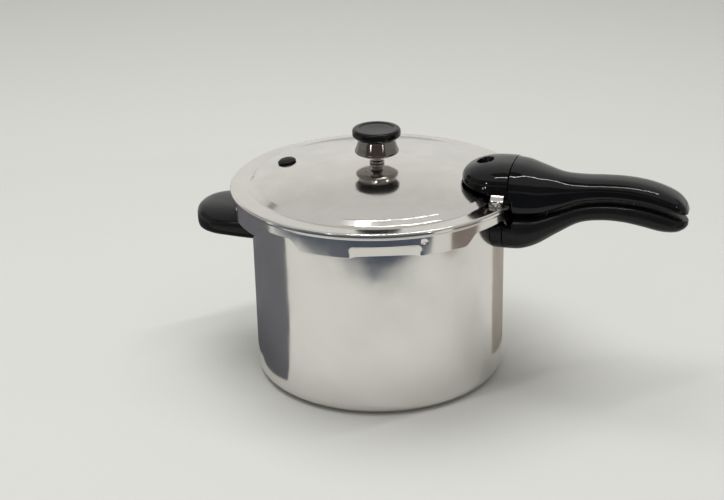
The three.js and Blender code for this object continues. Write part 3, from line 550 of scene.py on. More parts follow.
def scratches_group():
    """Hair scratches in three directions. Lines: 1 on a scratch, 0 off it."""
    tree, given, result = new_group(
        "Hair Scratches", [("Fineness", 1.0), ("Amount", 0.5)], ["Lines"])
    place = node(tree, "ShaderNodeTexCoord").outputs["Object"]
    total = None
    threshold = mapped(tree, given.outputs["Amount"], 0.0, 1.0, 0.74, 0.60)
    for turn, long_way in ((0.5, 14.0), (1.9, 22.0), (2.7, 9.0)):
        vector = stretched(tree, place, (900.0, long_way, 300.0), turn)
        sized = node(tree, "ShaderNodeVectorMath", {
            0: vector, "Scale": given.outputs["Fineness"]}, operation="SCALE")
        line = noise(tree, sized.outputs[0], 1.0, 1.0)
        above = math_node(tree, "SUBTRACT", line, threshold)
        mask = math_node(tree, "MULTIPLY", above, 18.0, clamp=True)
        total = mask if total is None else math_node(tree, "MAXIMUM", total, mask)
    tree.links.new(total, result.inputs["Lines"])
    return tree


def haze_group():
    """Cloudy wear. Clouds: broad patches, Specks: small marks, Grain: fine tooth."""
    tree, given, result = new_group(
        "Haze", [("Patch Size", 0.04), ("Speck Amount", 0.5)], ["Clouds", "Specks", "Grain"])
    place = node(tree, "ShaderNodeTexCoord").outputs["Object"]
    scale = math_node(tree, "DIVIDE", 1.0, given.outputs["Patch Size"])
    clouds = mapped(tree, noise(tree, place, scale, 5.0, 0.6), 0.35, 0.72)
    spots = noise(tree, place, 260.0, 2.0)
    limit = mapped(tree, given.outputs["Speck Amount"], 0.0, 1.0, 0.80, 0.62)
    specks = math_node(tree, "MULTIPLY", math_node(tree, "SUBTRACT", spots, limit), 12.0, True)
    grain = noise(tree, place, 2400.0, 2.0)
    for label, value in (("Clouds", clouds), ("Specks", specks), ("Grain", grain)):
        tree.links.new(value, result.inputs[label])
    return tree


def lathe_group():
    """Marks of turning and polishing. Rings: fine rings, Ripple: broad waves."""
    tree, given, result = new_group(
        "Lathe Rings", [("Ring Scale", 900.0), ("Waviness", 14.0)], ["Rings", "Ripple"])
    place = node(tree, "ShaderNodeTexCoord").outputs["Object"]
    parts = node(tree, "ShaderNodeSeparateXYZ", {0: place})
    flat = node(tree, "ShaderNodeCombineXYZ", {0: parts.outputs[0], 1: parts.outputs[1]})
    radius = node(tree, "ShaderNodeVectorMath", {0: flat.outputs[0]},
                  operation="LENGTH").outputs["Value"]
    along = math_node(tree, "ADD", radius, parts.outputs[2])
    rings = node(tree, "ShaderNodeTexNoise", {
        "W": along, "Scale": given.outputs["Ring Scale"], "Detail": 2.0},
        noise_dimensions="1D").outputs["Fac"]
    ripple = noise(tree, place, given.outputs["Waviness"], 2.0)
    tree.links.new(rings, result.inputs["Rings"])
    tree.links.new(ripple, result.inputs["Ripple"])
    return tree


def place_group(tree, group, inputs):
    """Places a node group in a material with its own values."""
    made = tree.nodes.new("ShaderNodeGroup")
    made.node_tree = bpy.data.node_groups[group]
    for key, value in inputs.items():
        made.inputs[key].default_value = value
    return made


def finish_of(name):
    return bpy.data.materials[f"finish_{name}"]


def new_finish(name, metallic=0.0):
    """A material with an emptied tree but for its shader and output."""
    finish = bpy.data.materials.new(f"finish_{name}")
    finish.use_nodes = True
    tree = finish.node_tree
    tree.nodes.clear()
    shader = node(tree, "ShaderNodeBsdfPrincipled", {"Metallic": metallic})
    out = tree.nodes.new("ShaderNodeOutputMaterial")
    tree.links.new(shader.outputs[0], out.inputs["Surface"])
    return tree, shader


def mixed_colour(tree, mask, first, second):
    return node(tree, "ShaderNodeMix", {
        "Factor": mask, 6: (*first, 1.0), 7: (*second, 1.0)}, data_type="RGBA").outputs[2]


def scaled(rgb, by):
    return tuple(min(c * by, 1.0) for c in rgb)


def bumped(tree, shader, heights):
    """Adds up (height, weight) pairs into one bump."""
    total = None
    for height, weight in heights:
        part = math_node(tree, "MULTIPLY", height, weight)
        total = part if total is None else math_node(tree, "ADD", total, part)
    bump = node(tree, "ShaderNodeBump", {
        "Height": total, "Distance": BUMP_DISTANCE, "Strength": 1.0})
    tree.links.new(bump.outputs[0], shader.inputs["Normal"])


def polished_metal(name, rgb, smoothest, roughest, rings=0.25, ripple=1.0, stains=0.12,
                   patch=0.045, scratch=0.15):
    """Bare polished metal: haze, hair scratches, lathe rings and faint stains."""
    tree, shader = new_finish(name, metallic=1.0)
    haze = place_group(tree, "Haze", {"Patch Size": patch, "Speck Amount": 0.45})
    lines = place_group(tree, "Hair Scratches", {"Fineness": 2.6, "Amount": scratch})
    lathe = place_group(tree, "Lathe Rings", {})
    dull = math_node(tree, "MULTIPLY", haze.outputs["Clouds"], roughest - smoothest)
    dull = math_node(tree, "ADD", dull, smoothest)
    scratched = math_node(tree, "MULTIPLY", lines.outputs["Lines"], 0.05)
    dull = math_node(tree, "ADD", dull, scratched)
    specked = math_node(tree, "MULTIPLY", haze.outputs["Specks"], 0.05)
    tree.links.new(math_node(tree, "ADD", dull, specked), shader.inputs["Roughness"])
    stained = math_node(tree, "MAXIMUM",
                        math_node(tree, "MULTIPLY", haze.outputs["Clouds"], 0.35),
                        math_node(tree, "MULTIPLY", haze.outputs["Specks"], 1.0))
    tree.links.new(mixed_colour(tree, stained, rgb, scaled(rgb, 1 - stains)),
                   shader.inputs["Base Color"])
    bumped(tree, shader, [
        (lathe.outputs["Rings"], rings * 0.02), (lathe.outputs["Ripple"], ripple * 4.0),
        (lines.outputs["Lines"], -0.002), (haze.outputs["Specks"], -0.01)])


def moulded_plastic(name, rgb, smoothest, roughest, tooth, sheen=0.3, scratch=0.15):
    """Moulded phenolic or rubber: smudges, dust, hair scratches and a fine tooth."""
    tree, shader = new_finish(name)
    shader.inputs["Specular IOR Level"].default_value = sheen
    haze = place_group(tree, "Haze", {"Patch Size": 0.03, "Speck Amount": 0.35})
    lines = place_group(tree, "Hair Scratches", {"Fineness": 1.4, "Amount": scratch})
    dull = math_node(tree, "MULTIPLY", haze.outputs["Clouds"], roughest - smoothest)
    dull = math_node(tree, "ADD", dull, smoothest)
    scratched = math_node(tree, "MULTIPLY", lines.outputs["Lines"], 0.06)
    tree.links.new(math_node(tree, "ADD", dull, scratched), shader.inputs["Roughness"])
    dusted = math_node(tree, "ADD",
                       math_node(tree, "MULTIPLY", haze.outputs["Specks"], 0.05),
                       math_node(tree, "MULTIPLY", lines.outputs["Lines"], 0.03), True)
    dusted = math_node(tree, "ADD", dusted,
                       math_node(tree, "MULTIPLY", haze.outputs["Clouds"], 0.02))
    tree.links.new(mixed_colour(tree, dusted, rgb, (0.10, 0.10, 0.10)),
                   shader.inputs["Base Color"])
    bumped(tree, shader, [(haze.outputs["Grain"], tooth), (haze.outputs["Clouds"], 0.3),
                          (lines.outputs["Lines"], -0.003)])


def build_finishes(colours):
    scratches_group()
    haze_group()
    lathe_group()
    polished_metal("polished_aluminium", colours.aluminium, 0.09, 0.19, ripple=0.8, stains=0.16)
    polished_metal("cover_aluminium", colours.aluminium, 0.08, 0.15, rings=0.5, ripple=0.5,
                   stains=0.14, patch=0.03, scratch=0.25)
    polished_metal("satin_aluminium", colours.rack, 0.34, 0.48, rings=0.1, stains=0.08)
    polished_metal("chrome_weight", colours.chrome, 0.035, 0.09, rings=0.2, ripple=0.1,
                   stains=0.1, scratch=0.1)
    polished_metal("fitting_steel", colours.steel, 0.12, 0.22, rings=0.8, ripple=0.1)
    moulded_plastic("gloss_black_phenolic", colours.phenolic, 0.03, 0.07, 0.002)
    polished_metal("rivet_aluminium", colours.aluminium, 0.2, 0.32, rings=0.4, ripple=0.1)
    moulded_plastic("cap_phenolic", colours.phenolic, 0.14, 0.24, 0.008, 0.25)
    moulded_plastic("satin_black_phenolic", colours.satin_phenolic, 0.16, 0.26, 0.012, 0.22)
    moulded_plastic("black_rubber", colours.black_rubber, 0.42, 0.6, 0.05)
    moulded_plastic("grey_rubber", colours.grey_rubber, 0.5, 0.68, 0.06)


# ---- Operators --------------------------------------------------------------------------


class COOKER_OT_finishes(bpy.types.Operator):
    """Makes every finish and the node groups that they share"""
    bl_idname = "cooker.finishes"
    bl_label = "Finishes"

    def execute(self, context):
        build_finishes(context.scene.cooker_colours)
        return {"FINISHED"}


class COOKER_OT_pot(bpy.types.Operator):
    """Builds the pot's shell with its flared rim and bayonet lugs"""
    bl_idname = "cooker.pot"
    bl_label = "Pot"

    def execute(self, context):
        pot = context.scene.cooker_pot
        top = pot_top()
        bore = pot.wall_radius - pot.wall
        rim = pot.wall_radius + pot.rim_flare
        foot = pot.wall_radius - pot.corner - 4 * MM
        rise = 0.7 * MM
        bm = bmesh.new()
        turn_outline(bm, filleted([
            (0, rise), (foot - 4 * MM, rise, 2 * MM), (foot, 0, 2 * MM),
            (pot.wall_radius, 0, pot.corner),
            (pot.wall_radius, top - pot.rim_height, 5 * MM),
            (rim, top - 0.55 * pot.rim_height, 2 * MM),
            (rim, top, 1.2 * MM),
            (bore, top, 1.1 * MM),
            (bore, pot.base, pot.corner - pot.wall),
            (0, pot.base),
        ], steps=10), BIG)
        lug_out = pot.wall_radius + pot.lug_reach
        lug_top = top - pot.lug_drop
        lug_bottom = lug_top - pot.lug_thickness
        lug = filleted([
            (pot.wall_radius - 1 * MM, lug_bottom), (lug_out, lug_bottom, 1 * MM),
            (lug_out, lug_top, 1 * MM), (pot.wall_radius - 1 * MM, lug_top)], steps=4)
        for k in range(BAYONETS):
            turn_outline(bm, lug, 36, closed=True, start=bayonet(k) - pot.lug_half_angle,
                         sweep=2 * pot.lug_half_angle)
        finish_mesh(bm)
        piece("pot_shell", bm, "pot", "polished_aluminium", ["pot_body"])
        return {"FINISHED"}


def skirt_low(cover, offset):
    """Height of the skirt's lower edge at an angle from the middle of a deep stretch."""
    deep = flange_face() - cover.skirt_deep
    shallow = flange_face() - cover.skirt_shallow
    rise = smooth(abs(offset), cover.deep_half_angle,
                  cover.deep_half_angle + cover.slope_angle)
    return deep + (shallow - deep) * rise


def press_skirt(cover, v, skirt_top, skirt_bottom, skirt_radius):
    """Moves one vertex of the skirt for its wavy edge and its pressed-in tab."""
    azimuth = math.atan2(v.co.y, v.co.x)
    offset = wrap(azimuth - nearest_bayonet(azimuth))
    share_down = (skirt_top - v.co.z) / (skirt_top - skirt_bottom)
    v.co.z = skirt_top - share_down * (skirt_top - skirt_low(cover, offset))
    radius = v.co.xy.length
    across = abs(radius * math.sin(offset))
    if abs(offset) > math.pi / 4 or across >= cover.tab_half_width:
        return
    face = math.sqrt(skirt_radius ** 2 - cover.tab_half_width ** 2)
    corner = smooth(across, cover.tab_half_width - cover.tab_round, cover.tab_half_width)
    fold = pot_top() - cover.tab_drop - 4 * MM * corner ** 2
    pressed = smooth(fold - v.co.z, -0.2 * MM, 0.9 * MM)
    lean = cover.tab_lean * min(max((fold - v.co.z) / (fold - skirt_bottom), 0.0), 1.0)
    inner = radius < skirt_radius - cover.wall / 2
    plane = face - lean * (1 - corner) - (cover.wall if inner else 0.0)
    target = min(plane / math.cos(offset), radius)
    flat = radius + (target - radius) * pressed
    v.co.xy = v.co.xy * (flat / radius)


def press_dimple(cover, v):
    """Sinks the forming mark beside the end of each tab."""
    azimuth = math.atan2(v.co.y, v.co.x)
    radius = v.co.xy.length
    offset = wrap(azimuth - nearest_bayonet(azimuth))
    along = offset * radius - cover.tab_half_width - 2.6 * MM
    above = v.co.z - (pot_top() - cover.tab_drop) - 1.6 * MM
    sunk = 1 - smooth(math.hypot(along, above), 0.4 * MM, 1.9 * MM)
    v.co.xy = v.co.xy * (1 - 0.9 * MM * sunk / radius)


class COOKER_OT_cover(bpy.types.Operator):
    """Builds the cover: crown, riser, flange, skirt, pressed-in tabs and their ledges"""
    bl_idname = "cooker.cover"
    bl_label = "Cover"

    def execute(self, context):
        pot = context.scene.cooker_pot
        cover = context.scene.cooker_cover
        fitting = context.scene.cooker_fitting
        face = flange_face()
        hole = fitting.pipe_radius + 0.3 * MM
        skirt_out = cover.flange_radius - cover.skirt_set_in
        skirt_in = skirt_out - cover.wall
        skirt_bottom = face - cover.skirt_deep
        skirt_top = face - cover.flange_edge - 3 * MM
        fold = pot_top() - cover.tab_drop
        flange_in = cover.crown_edge + cover.riser_run

        def crown(drop, last):
            radii = [hole + (last - hole) * i / CROWN_STEPS for i in range(CROWN_STEPS + 1)]
            return [(r, crown_height(r) - drop) for r in radii]

        edge_drop = cover.crown_edge - 0.9 * MM
        near_fold = (3, 2.1, 1.2, 0.5, 0.1, -0.3, -0.7, -1.2, -2.4, -4, -6)
        levels = [skirt_top - 1.5 * MM, *[fold + step * MM for step in near_fold],
                  skirt_bottom + 1.2 * MM]
        outer = filleted([
            crown(0, cover.crown_edge)[-2],
            (cover.crown_edge, face + cover.riser_rise, 2.2 * MM),
            (flange_in - 0.6 * MM, face, 2.0 * MM),
            (cover.flange_radius, face, cover.flange_edge),
            (cover.flange_radius, face - cover.flange_edge - 1 * MM, 0.6 * MM),
            (skirt_out, skirt_top, 1.2 * MM),
            (skirt_out, levels[0]),
        ], steps=7)
        under = filleted([
            (skirt_in, levels[0]),
            (skirt_in, face - cover.wall, 1.6 * MM),
            (flange_in - 1.2 * MM, face - cover.wall, 1.5 * MM),
            (edge_drop - 0.5 * MM, face + cover.riser_rise - cover.wall, 1.5 * MM),
            crown(cover.wall, edge_drop)[-3],
        ], steps=5)
        lip = filleted([
            (skirt_out, levels[-1]), (skirt_out, skirt_bottom, 0.6 * MM),
            (skirt_in, skirt_bottom, 0.6 * MM), (skirt_in, levels[-1])], steps=3)
        outline = [
            *crown(0, cover.crown_edge)[:-2], *outer,
            *[(skirt_out, z) for z in levels[1:-1]], *lip,
            *[(skirt_in, z) for z in reversed(levels[1:-1])], *under,
            *reversed(crown(cover.wall, edge_drop)[:-3])]
        bm = bmesh.new()
        tab_face = math.sqrt(skirt_out ** 2 - cover.tab_half_width ** 2)
        foot = tab_face - cover.tab_lean
        ledge_in = pot.wall_radius + pot.rim_flare + cover.ledge_gap
        ledge_top = pot_top() - pot.lug_drop - pot.lug_thickness - 0.7 * MM
        half = math.asin((cover.tab_half_width - 1 * MM) / skirt_out)
        for k in range(BAYONETS):
            middle = bayonet(k)
            ledge = filleted([
                (ledge_in, skirt_bottom, 0.6 * MM), (skirt_in, skirt_bottom, 0.3 * MM),
                (skirt_in, ledge_top, 0.3 * MM), (ledge_in, ledge_top, 0.8 * MM)],
                closed=True, steps=3)
            ring = turn_outline(bm, ledge, 24, closed=True, start=middle - half,
                                sweep=2 * half)
            for v in ring:
                offset = wrap(math.atan2(v.co.y, v.co.x) - middle)
                limit = (foot - 0.8 * MM) / math.cos(offset)
                if v.co.xy.length > limit:
                    v.co.xy = v.co.xy * (limit / v.co.xy.length)
        ledges = set(bm.verts)
        turn_outline(bm, outline, 3 * BIG, closed=True, start=pot.bayonet_azimuth)
        finish_mesh(bm)
        for v in bm.verts:
            on_skirt = v.co.z < skirt_top and v.co.xy.length > skirt_in - 1 * MM
            if on_skirt and v not in ledges:
                press_skirt(cover, v, skirt_top, skirt_bottom, skirt_out)
                press_dimple(cover, v)
        bmesh.ops.recalc_face_normals(bm, faces=bm.faces)
        piece("cover_shell", bm, "cover", "polished_aluminium", ["cover"], "cover_aluminium")
        return {"FINISHED"}


class COOKER_OT_ring(bpy.types.Operator):
    """Builds the sealing ring in the cover's channel"""
    bl_idname = "cooker.ring"
    bl_label = "Sealing Ring"

    def execute(self, context):
        cover = context.scene.cooker_cover
        out = edge("sealing_ring", HIGH, X)
        low, high = span("sealing_ring", Z)
        bore = context.scene.cooker_pot.wall_radius - 1 * MM
        step = cover.crown_edge + cover.riser_run
        turned_piece("sealing_ring_rubber", [
            (bore, low, 0.5 * MM), (out - 3.6 * MM, low, 1.5 * MM), (out, low + 2 * MM, 1 * MM),
            (out, high, 1 * MM), (step, high, 1 * MM), (step - 0.4 * MM, low + 2.4 * MM, 0.8 * MM),
            (bore, low + 1.6 * MM, 0.5 * MM)],
            "ring", "grey_rubber", "sealing_ring", BIG, closed=True, steps=4)
        return {"FINISHED"}


class COOKER_OT_regulator(bpy.types.Operator):
    """Builds the vent pipe and the weight, needle and cap of the pressure regulator"""
    bl_idname = "cooker.regulator"
    bl_label = "Pressure Regulator"

    def execute(self, context):
        fitting = context.scene.cooker_fitting
        r = fitting.pipe_radius
        low, high = span("vent_pipe", Z)
        seat = crown_height(0) + 0.3 * MM
        turned_piece("vent_pipe_turned", [
            (fitting.pipe_bore, low, 0.3 * MM), (r, low, 0.6 * MM), (r, seat, 0.1 * MM),
            (r + 2 * MM, seat, 0.3 * MM), (r + 2 * MM, seat + 1.8 * MM, 0.5 * MM),
            (r + 0.1 * MM, seat + 2.4 * MM, 0.5 * MM), (r - 0.5 * MM, seat + 5 * MM, 1 * MM),
            (r - 0.5 * MM, high - 5 * MM, 1 * MM), (r, high - 4 * MM, 0.6 * MM),
            (r, high - 2.2 * MM, 0.5 * MM), (r - 1.6 * MM, high, 0.4 * MM),
            (fitting.pipe_bore, high, 0.2 * MM)],
            "cover", "fitting_steel", "vent_pipe", closed=True)
        low, high = span("vent_pipe_washer", Z)
        washer = edge("vent_pipe_washer", HIGH, X)
        turned_piece("vent_pipe_washer_rubber", [
            (r + 0.2 * MM, low, 0.2 * MM), (washer, low, 0.7 * MM), (washer, high, 0.7 * MM),
            (r + 0.2 * MM, high, 0.2 * MM)],
            "cover", "black_rubber", "vent_pipe_washer", closed=True)
        low, high = span("regulator_weight", Z)
        wide, narrow = fitting.weight_radius, fitting.weight_top
        bore = r + 0.9 * MM
        turned_piece("regulator_weight_turned", [
            (bore, low, 0.5 * MM), (wide - 3.4 * MM, low, 1 * MM),
            (wide - 2 * MM, low + 0.2 * MM, 1 * MM), (wide, low + 1.4 * MM, 1 * MM),
            (wide, low + 3 * MM, 2 * MM), (wide - 1.6 * MM, low + 6.8 * MM, 4 * MM),
            (narrow + 0.4 * MM, high - 2 * MM, 3 * MM), (narrow, high, 0.4 * MM),
            (bore, high, 0.3 * MM)],
            "regulator", "chrome_weight", "regulator_weight", 96, closed=True, steps=8)
        low, high = span("regulator_needle", Z)
        stem = bore - 0.3 * MM
        turned_piece("regulator_needle_turned", [
            (0, low), (fitting.pipe_bore, low + 0.8 * MM, 0.3 * MM),
            (stem, low + 1.4 * MM, 0.4 * MM), (stem, high, 0.3 * MM), (0, high)],
            "regulator", "fitting_steel", "regulator_needle")
        low, high = span("regulator_cap", Z)
        cap = fitting.cap_radius
        turned_piece("regulator_cap_moulded", [
            (0, low), (cap - 2.2 * MM, low, 0.6 * MM), (cap, low + 2.2 * MM, 1.6 * MM),
            (cap, high, 2.6 * MM), (cap - 5 * MM, high, 1.2 * MM),
            (cap - 6.2 * MM, high - 0.7 * MM, 1 * MM), (5 * MM, high - 1.0 * MM, 2 * MM),
            (0, high - 1.0 * MM)],
            "regulator", "gloss_black_phenolic", "regulator_cap", 96, steps=8,
            finish="cap_phenolic")
        return {"FINISHED"}


class COOKER_OT_nut(bpy.types.Operator):
    """Builds the hexagonal nut under the vent pipe's washer"""
    bl_idname = "cooker.nut"
    bl_label = "Vent Pipe Nut"

    def execute(self, context):
        bore = context.scene.cooker_fitting.pipe_radius + 0.2 * MM
        low, high = span("vent_pipe_nut", Z)
        width = edge("vent_pipe_nut", HIGH, Y)
        bm = bmesh.new()
        outline = [(bore, low), (width, low), (width, high), (bore, high)]
        turn_outline(bm, outline, 6, closed=True)
        finish_mesh(bm)
        for v in bm.verts:
            if v.co.xy.length < width * 0.9:
                v.co.xy = v.co.xy * (1 / math.cos(math.pi / 6)) * 0.98
        bmesh.ops.rotate(bm, verts=bm.verts, matrix=Matrix.Rotation(math.pi / 6, 3, "Z"))
        bevel_edges(bm, 0.3 * MM, 2)
        piece("vent_pipe_nut_hexagon", bm, "cover", "fitting_steel", ["vent_pipe_nut"])
        return {"FINISHED"}


def on_crown(x):
    """The matrix that sets a fitting made at the origin onto the crown at x."""
    tilt = math.asin(x / bpy.context.scene.cooker_cover.crown_radius)
    return (Matrix.Translation((x, 0, crown_height(abs(x))))
            @ Matrix.Rotation(tilt, 4, "Y"))


class COOKER_OT_plug(bpy.types.Operator):
    """Builds the rubber overpressure plug"""
    bl_idname = "cooker.plug"
    bl_label = "Overpressure Plug"

    def execute(self, context):
        wall = context.scene.cooker_cover.wall
        r = context.scene.cooker_fitting.plug_radius
        neck = r - 2.9 * MM
        turned_piece("overpressure_plug_rubber", [
            (0, -wall - 3 * MM), (neck + 2 * MM, -wall - 3 * MM, 0.8 * MM),
            (neck + 2 * MM, -wall - 0.5 * MM, 0.6 * MM), (neck, -wall - 0.5 * MM, 0.2 * MM),
            (neck, 0.4 * MM, 0.2 * MM), (r, 0.4 * MM, 0.3 * MM), (r, 1.4 * MM, 0.8 * MM),
            (r - 2.4 * MM, 3.2 * MM, 3 * MM), (2 * MM, 3.9 * MM, 1.5 * MM), (0, 3.9 * MM)],
            "cover", "black_rubber", "overpressure_plug",
            at=on_crown(middle_of("overpressure_plug", X)))
        return {"FINISHED"}


class COOKER_OT_vent_lock(bpy.types.Operator):
    """Builds the air vent lock: pin, gasket, cup and bush"""
    bl_idname = "cooker.vent_lock"
    bl_label = "Air Vent Lock"

    def execute(self, context):
        at = Matrix.Translation((vent_lock_x(), 0, 0))
        pin = radius_of("vent_lock_pin")
        low, high = span("vent_lock_pin", Z)
        turned_piece("vent_lock_pin_turned", [
            (0, low), (pin, low, 0.3 * MM), (pin, high, 0.9 * MM), (0, high)],
            "vent_lock", "fitting_steel", "vent_lock_pin", at=at)
        low, high = span("vent_lock_gasket", Z)
        out = radius_of("vent_lock_gasket")
        turned_piece("vent_lock_gasket_rubber", [
            (pin + 0.1 * MM, low, 0.2 * MM), (out, low, 0.7 * MM), (out, high, 0.7 * MM),
            (pin + 0.1 * MM, high, 0.2 * MM)],
            "vent_lock", "black_rubber", "vent_lock_gasket", closed=True, at=at)
        low, high = span("vent_lock_cup", Z)
        out = radius_of("vent_lock_cup")
        well = pin + 0.3 * MM
        turned_piece("vent_lock_cup_turned", [
            (0, low), (out - 1 * MM, low, 0.8 * MM), (out, low + 1 * MM, 0.5 * MM),
            (out, high, 0.3 * MM), (well, high, 0.2 * MM), (well, low + 1.1 * MM, 0.1 * MM),
            (0, low + 1.1 * MM)],
            "vent_lock", "fitting_steel", "vent_lock_cup", at=at)
        low, high = span("vent_lock_bush", Z)
        out = radius_of("vent_lock_bush")
        turned_piece("vent_lock_bush_turned", [
            (well, low, 0.3 * MM), (out, low, 0.3 * MM), (out, high, 0.5 * MM),
            (well, high, 0.5 * MM)],
            "cover", "fitting_steel", "vent_lock_bush", closed=True, at=at)
        return {"FINISHED"}


def vent_lock_x():
    return middle_of("vent_lock_pin", X)


class COOKER_OT_strap(bpy.types.Operator):
    """Builds the steel strap that carries the cover's handle, and its two rivets"""
    bl_idname = "cooker.strap"
    bl_label = "Cover Strap"

    def execute(self, context):
        thick = context.scene.cooker_fitting.strap
        head = context.scene.cooker_fitting.rivet_head * 0.7
        x_in, x_tip = span("cover_strap", X)
        half_y = edge("cover_strap", HIGH, Y)
        ear_z, top = span("cover_strap", Z)
        bridge_z = top - thick
        rivet_x = middle_of("cover_strap_rivet_1", X)
        rivet_y = middle_of("cover_strap_rivet_1", Y)
        half_x = rivet_x - x_in
        leg_in, leg_out = 28.6 * MM, rivet_y - 4.2 * MM
        bm = bmesh.new()
        bmesh.ops.create_grid(bm, x_segments=16, y_segments=96, size=1.0)
        for v in bm.verts:
            y = v.co.y * half_y
            beyond = max(abs(y) - (half_y - half_x), 0.0) / half_x
            x = rivet_x + v.co.x * half_x * math.sqrt(max(1 - beyond ** 2, 0.0))
            v.co = (x, y, bridge_z + (ear_z - bridge_z) * smooth(abs(y), leg_in, leg_out))
        finish_mesh(bm)
        if bm.faces[0].normal.z < 0:
            bmesh.ops.reverse_faces(bm, faces=bm.faces)
        bmesh.ops.solidify(bm, geom=bm.faces, thickness=-thick)
        bmesh.ops.recalc_face_normals(bm, faces=bm.faces)
        bevel_edges(bm, 0.45 * MM, 3, math.radians(50))
        tongue = bmesh.ops.create_cube(bm, size=1.0)["verts"]
        bmesh.ops.scale(bm, verts=tongue, vec=(x_tip - rivet_x, 18 * MM, thick))
        bmesh.ops.translate(bm, verts=tongue,
                            vec=((x_tip + rivet_x) / 2, 0, bridge_z + thick / 2))
        piece("cover_strap_plate", bm, "cover", "fitting_steel", ["cover_strap"])
        for i, side in enumerate((1, -1)):
            name = f"cover_strap_rivet_{i + 1}"
            low, high = span(name, Z)
            turned_piece(f"{name}_dome", [
                (0, low), (2.2 * MM, low, 0.3 * MM), (2.2 * MM, high - 1 * MM),
                (head, high - 1 * MM, 0.2 * MM), (0.75 * head, high - 0.1 * MM, 0.9 * MM),
                (0, high)],
                "cover", "fitting_steel", name,
                at=Matrix.Translation((rivet_x, side * rivet_y, 0)), finish="rivet_aluminium")
        return {"FINISHED"}


class COOKER_OT_rivets(bpy.types.Operator):
    """Builds the rivets that hold both brackets to the pot's wall"""
    bl_idname = "cooker.rivets"
    bl_label = "Pot Rivets"

    def execute(self, context):
        pot = context.scene.cooker_pot
        head = context.scene.cooker_fitting.rivet_head
        for name in ("pot_handle_rivet_1", "pot_handle_rivet_2",
                     "helper_rivet_1", "helper_rivet_2"):
            low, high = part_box(name)
            middle = (low + high) / 2
            azimuth = math.atan2(middle.y, middle.x)
            face = pot.wall_radius - pot.wall - 0.45 * MM
            shank = pot.wall_radius + 3.4 * MM - face
            bm = bmesh.new()
            turn_outline(bm, filleted([
                (0, -1.6 * MM), (0.62 * head, -1.4 * MM, 1.6 * MM), (head, -0.3 * MM, 0.4 * MM),
                (head, 0, 0.1 * MM), (2.2 * MM, 0), (2.2 * MM, shank), (0, shank)]), 32)
            finish_mesh(bm)
            bmesh.ops.transform(bm, verts=bm.verts, matrix=(
                Matrix.Rotation(azimuth, 4, "Z") @ Matrix.Translation((face, 0, middle.z))
                @ Matrix.Rotation(math.pi / 2, 4, "Y")))
            piece(f"{name}_dome", bm, "pot", "fitting_steel", [name], "rivet_aluminium")
        return {"FINISHED"}


class COOKER_OT_screws(bpy.types.Operator):
    """Builds every handle screw with a cross recess in its head"""
    bl_idname = "cooker.screws"
    bl_label = "Handle Screws"

    def execute(self, context):
        radius = context.scene.cooker_fitting.screw_head
        for name, body in (("pot_handle_screw", "pot"), ("helper_screw_1", "pot"),
                           ("helper_screw_2", "pot"), ("cover_handle_screw", "cover"),
                           ("hood_screw", "cover")):
            low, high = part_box(name)
            height = 2.0 * MM if name == "hood_screw" else 2.4 * MM
            bm = bmesh.new()
            slotted_head(bm, radius, height, high.z - low.z - height, radius / 2)
            finish_mesh(bm)
            bmesh.ops.translate(bm, verts=bm.verts, vec=(
                (low.x + high.x) / 2, (low.y + high.y) / 2, low.z + height))
            piece(f"{name}_headed", bm, body, "fitting_steel", [name])
        return {"FINISHED"}


class COOKER_OT_brackets(bpy.types.Operator):
    """Gives the two pressed pot brackets their finish"""
    bl_idname = "cooker.brackets"
    bl_label = "Pot Brackets"

    def execute(self, context):
        for name in ("pot_handle_bracket", "helper_bracket"):
            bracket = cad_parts[name]
            bracket.data.materials.clear()
            bracket.data.materials.append(finish_of("fitting_steel"))
        return {"FINISHED"}


# ---- Handles ----------------------------------------------------------------------------


def keep_above_crown(bm, clearance):
    """Lifts the underside of a piece clear of the crown, the riser and the flange."""
    cover = bpy.context.scene.cooker_cover
    for v in bm.verts:
        r = v.co.xy.length
        inside = crown_height(min(r, cover.crown_edge)) + clearance
        outside = flange_face() + 5.8 * MM
        past_crown = smooth(r, cover.crown_edge, cover.crown_edge + 3 * MM)
        v.co.z = max(v.co.z, inside + (outside - inside) * past_crown)


class COOKER_OT_hood(bpy.types.Operator):
    """Builds the hood over the air vent lock, with its sight hole"""
    bl_idname = "cooker.hood"
    bl_label = "Hood"

    def execute(self, context):
        handle = context.scene.cooker_handle
        wide = handle.hood_half_width
        x0, x1 = span("cover_handle_hood", X)
        under = edge("cover_handle_hood", LOW, Z) - 6 * MM
        top = flange_face() + handle.hood_rise
        stations = [
            (0, 0.5 * MM, under + 10 * MM, top - 15 * MM),
            (0.02, 7 * MM, under + 8 * MM, top - 11.5 * MM),
            (0.06, wide - 18 * MM, under + 3 * MM, top - 8.8 * MM),
            (0.13, wide - 11 * MM, under, top - 6.4 * MM),
            (0.28, wide - 4.5 * MM, under, top - 3.6 * MM),
            (0.48, wide - 1 * MM, under, top - 1.4 * MM),
            (0.72, wide, under, top - 0.3 * MM),
            (1, wide - 0.5 * MM, under, top)]
        bm = swept_skin(stations, x0, x1 - handle.seam / 2, UPPER_SECTION, along=110)
        keep_above_crown(bm, 2.6 * MM)
        sink_sight_hole(bm, handle, top)
        finish_mesh(bm, SKIN_MERGE)
        bevel_seam(bm, x1 - handle.seam / 2)
        piece("cover_handle_hood_moulded", bm, "cover", "gloss_black_phenolic",
              ["cover_handle_hood"])
        return {"FINISHED"}


def sink_sight_hole(bm, handle, top):
    """Draws the hood's skin in to a round well over the air vent lock."""
    x = vent_lock_x()
    r = handle.sight_hole
    depth = 12 * MM
    lip = 1.2 * MM
    for v in bm.verts:
        away = Vector((v.co.x - x, v.co.y)).length
        if v.co.z >= top - 9 * MM and away < r + lip:
            v.co.z -= depth * (1 - smooth(away, r - 0.4 * MM, r + lip))


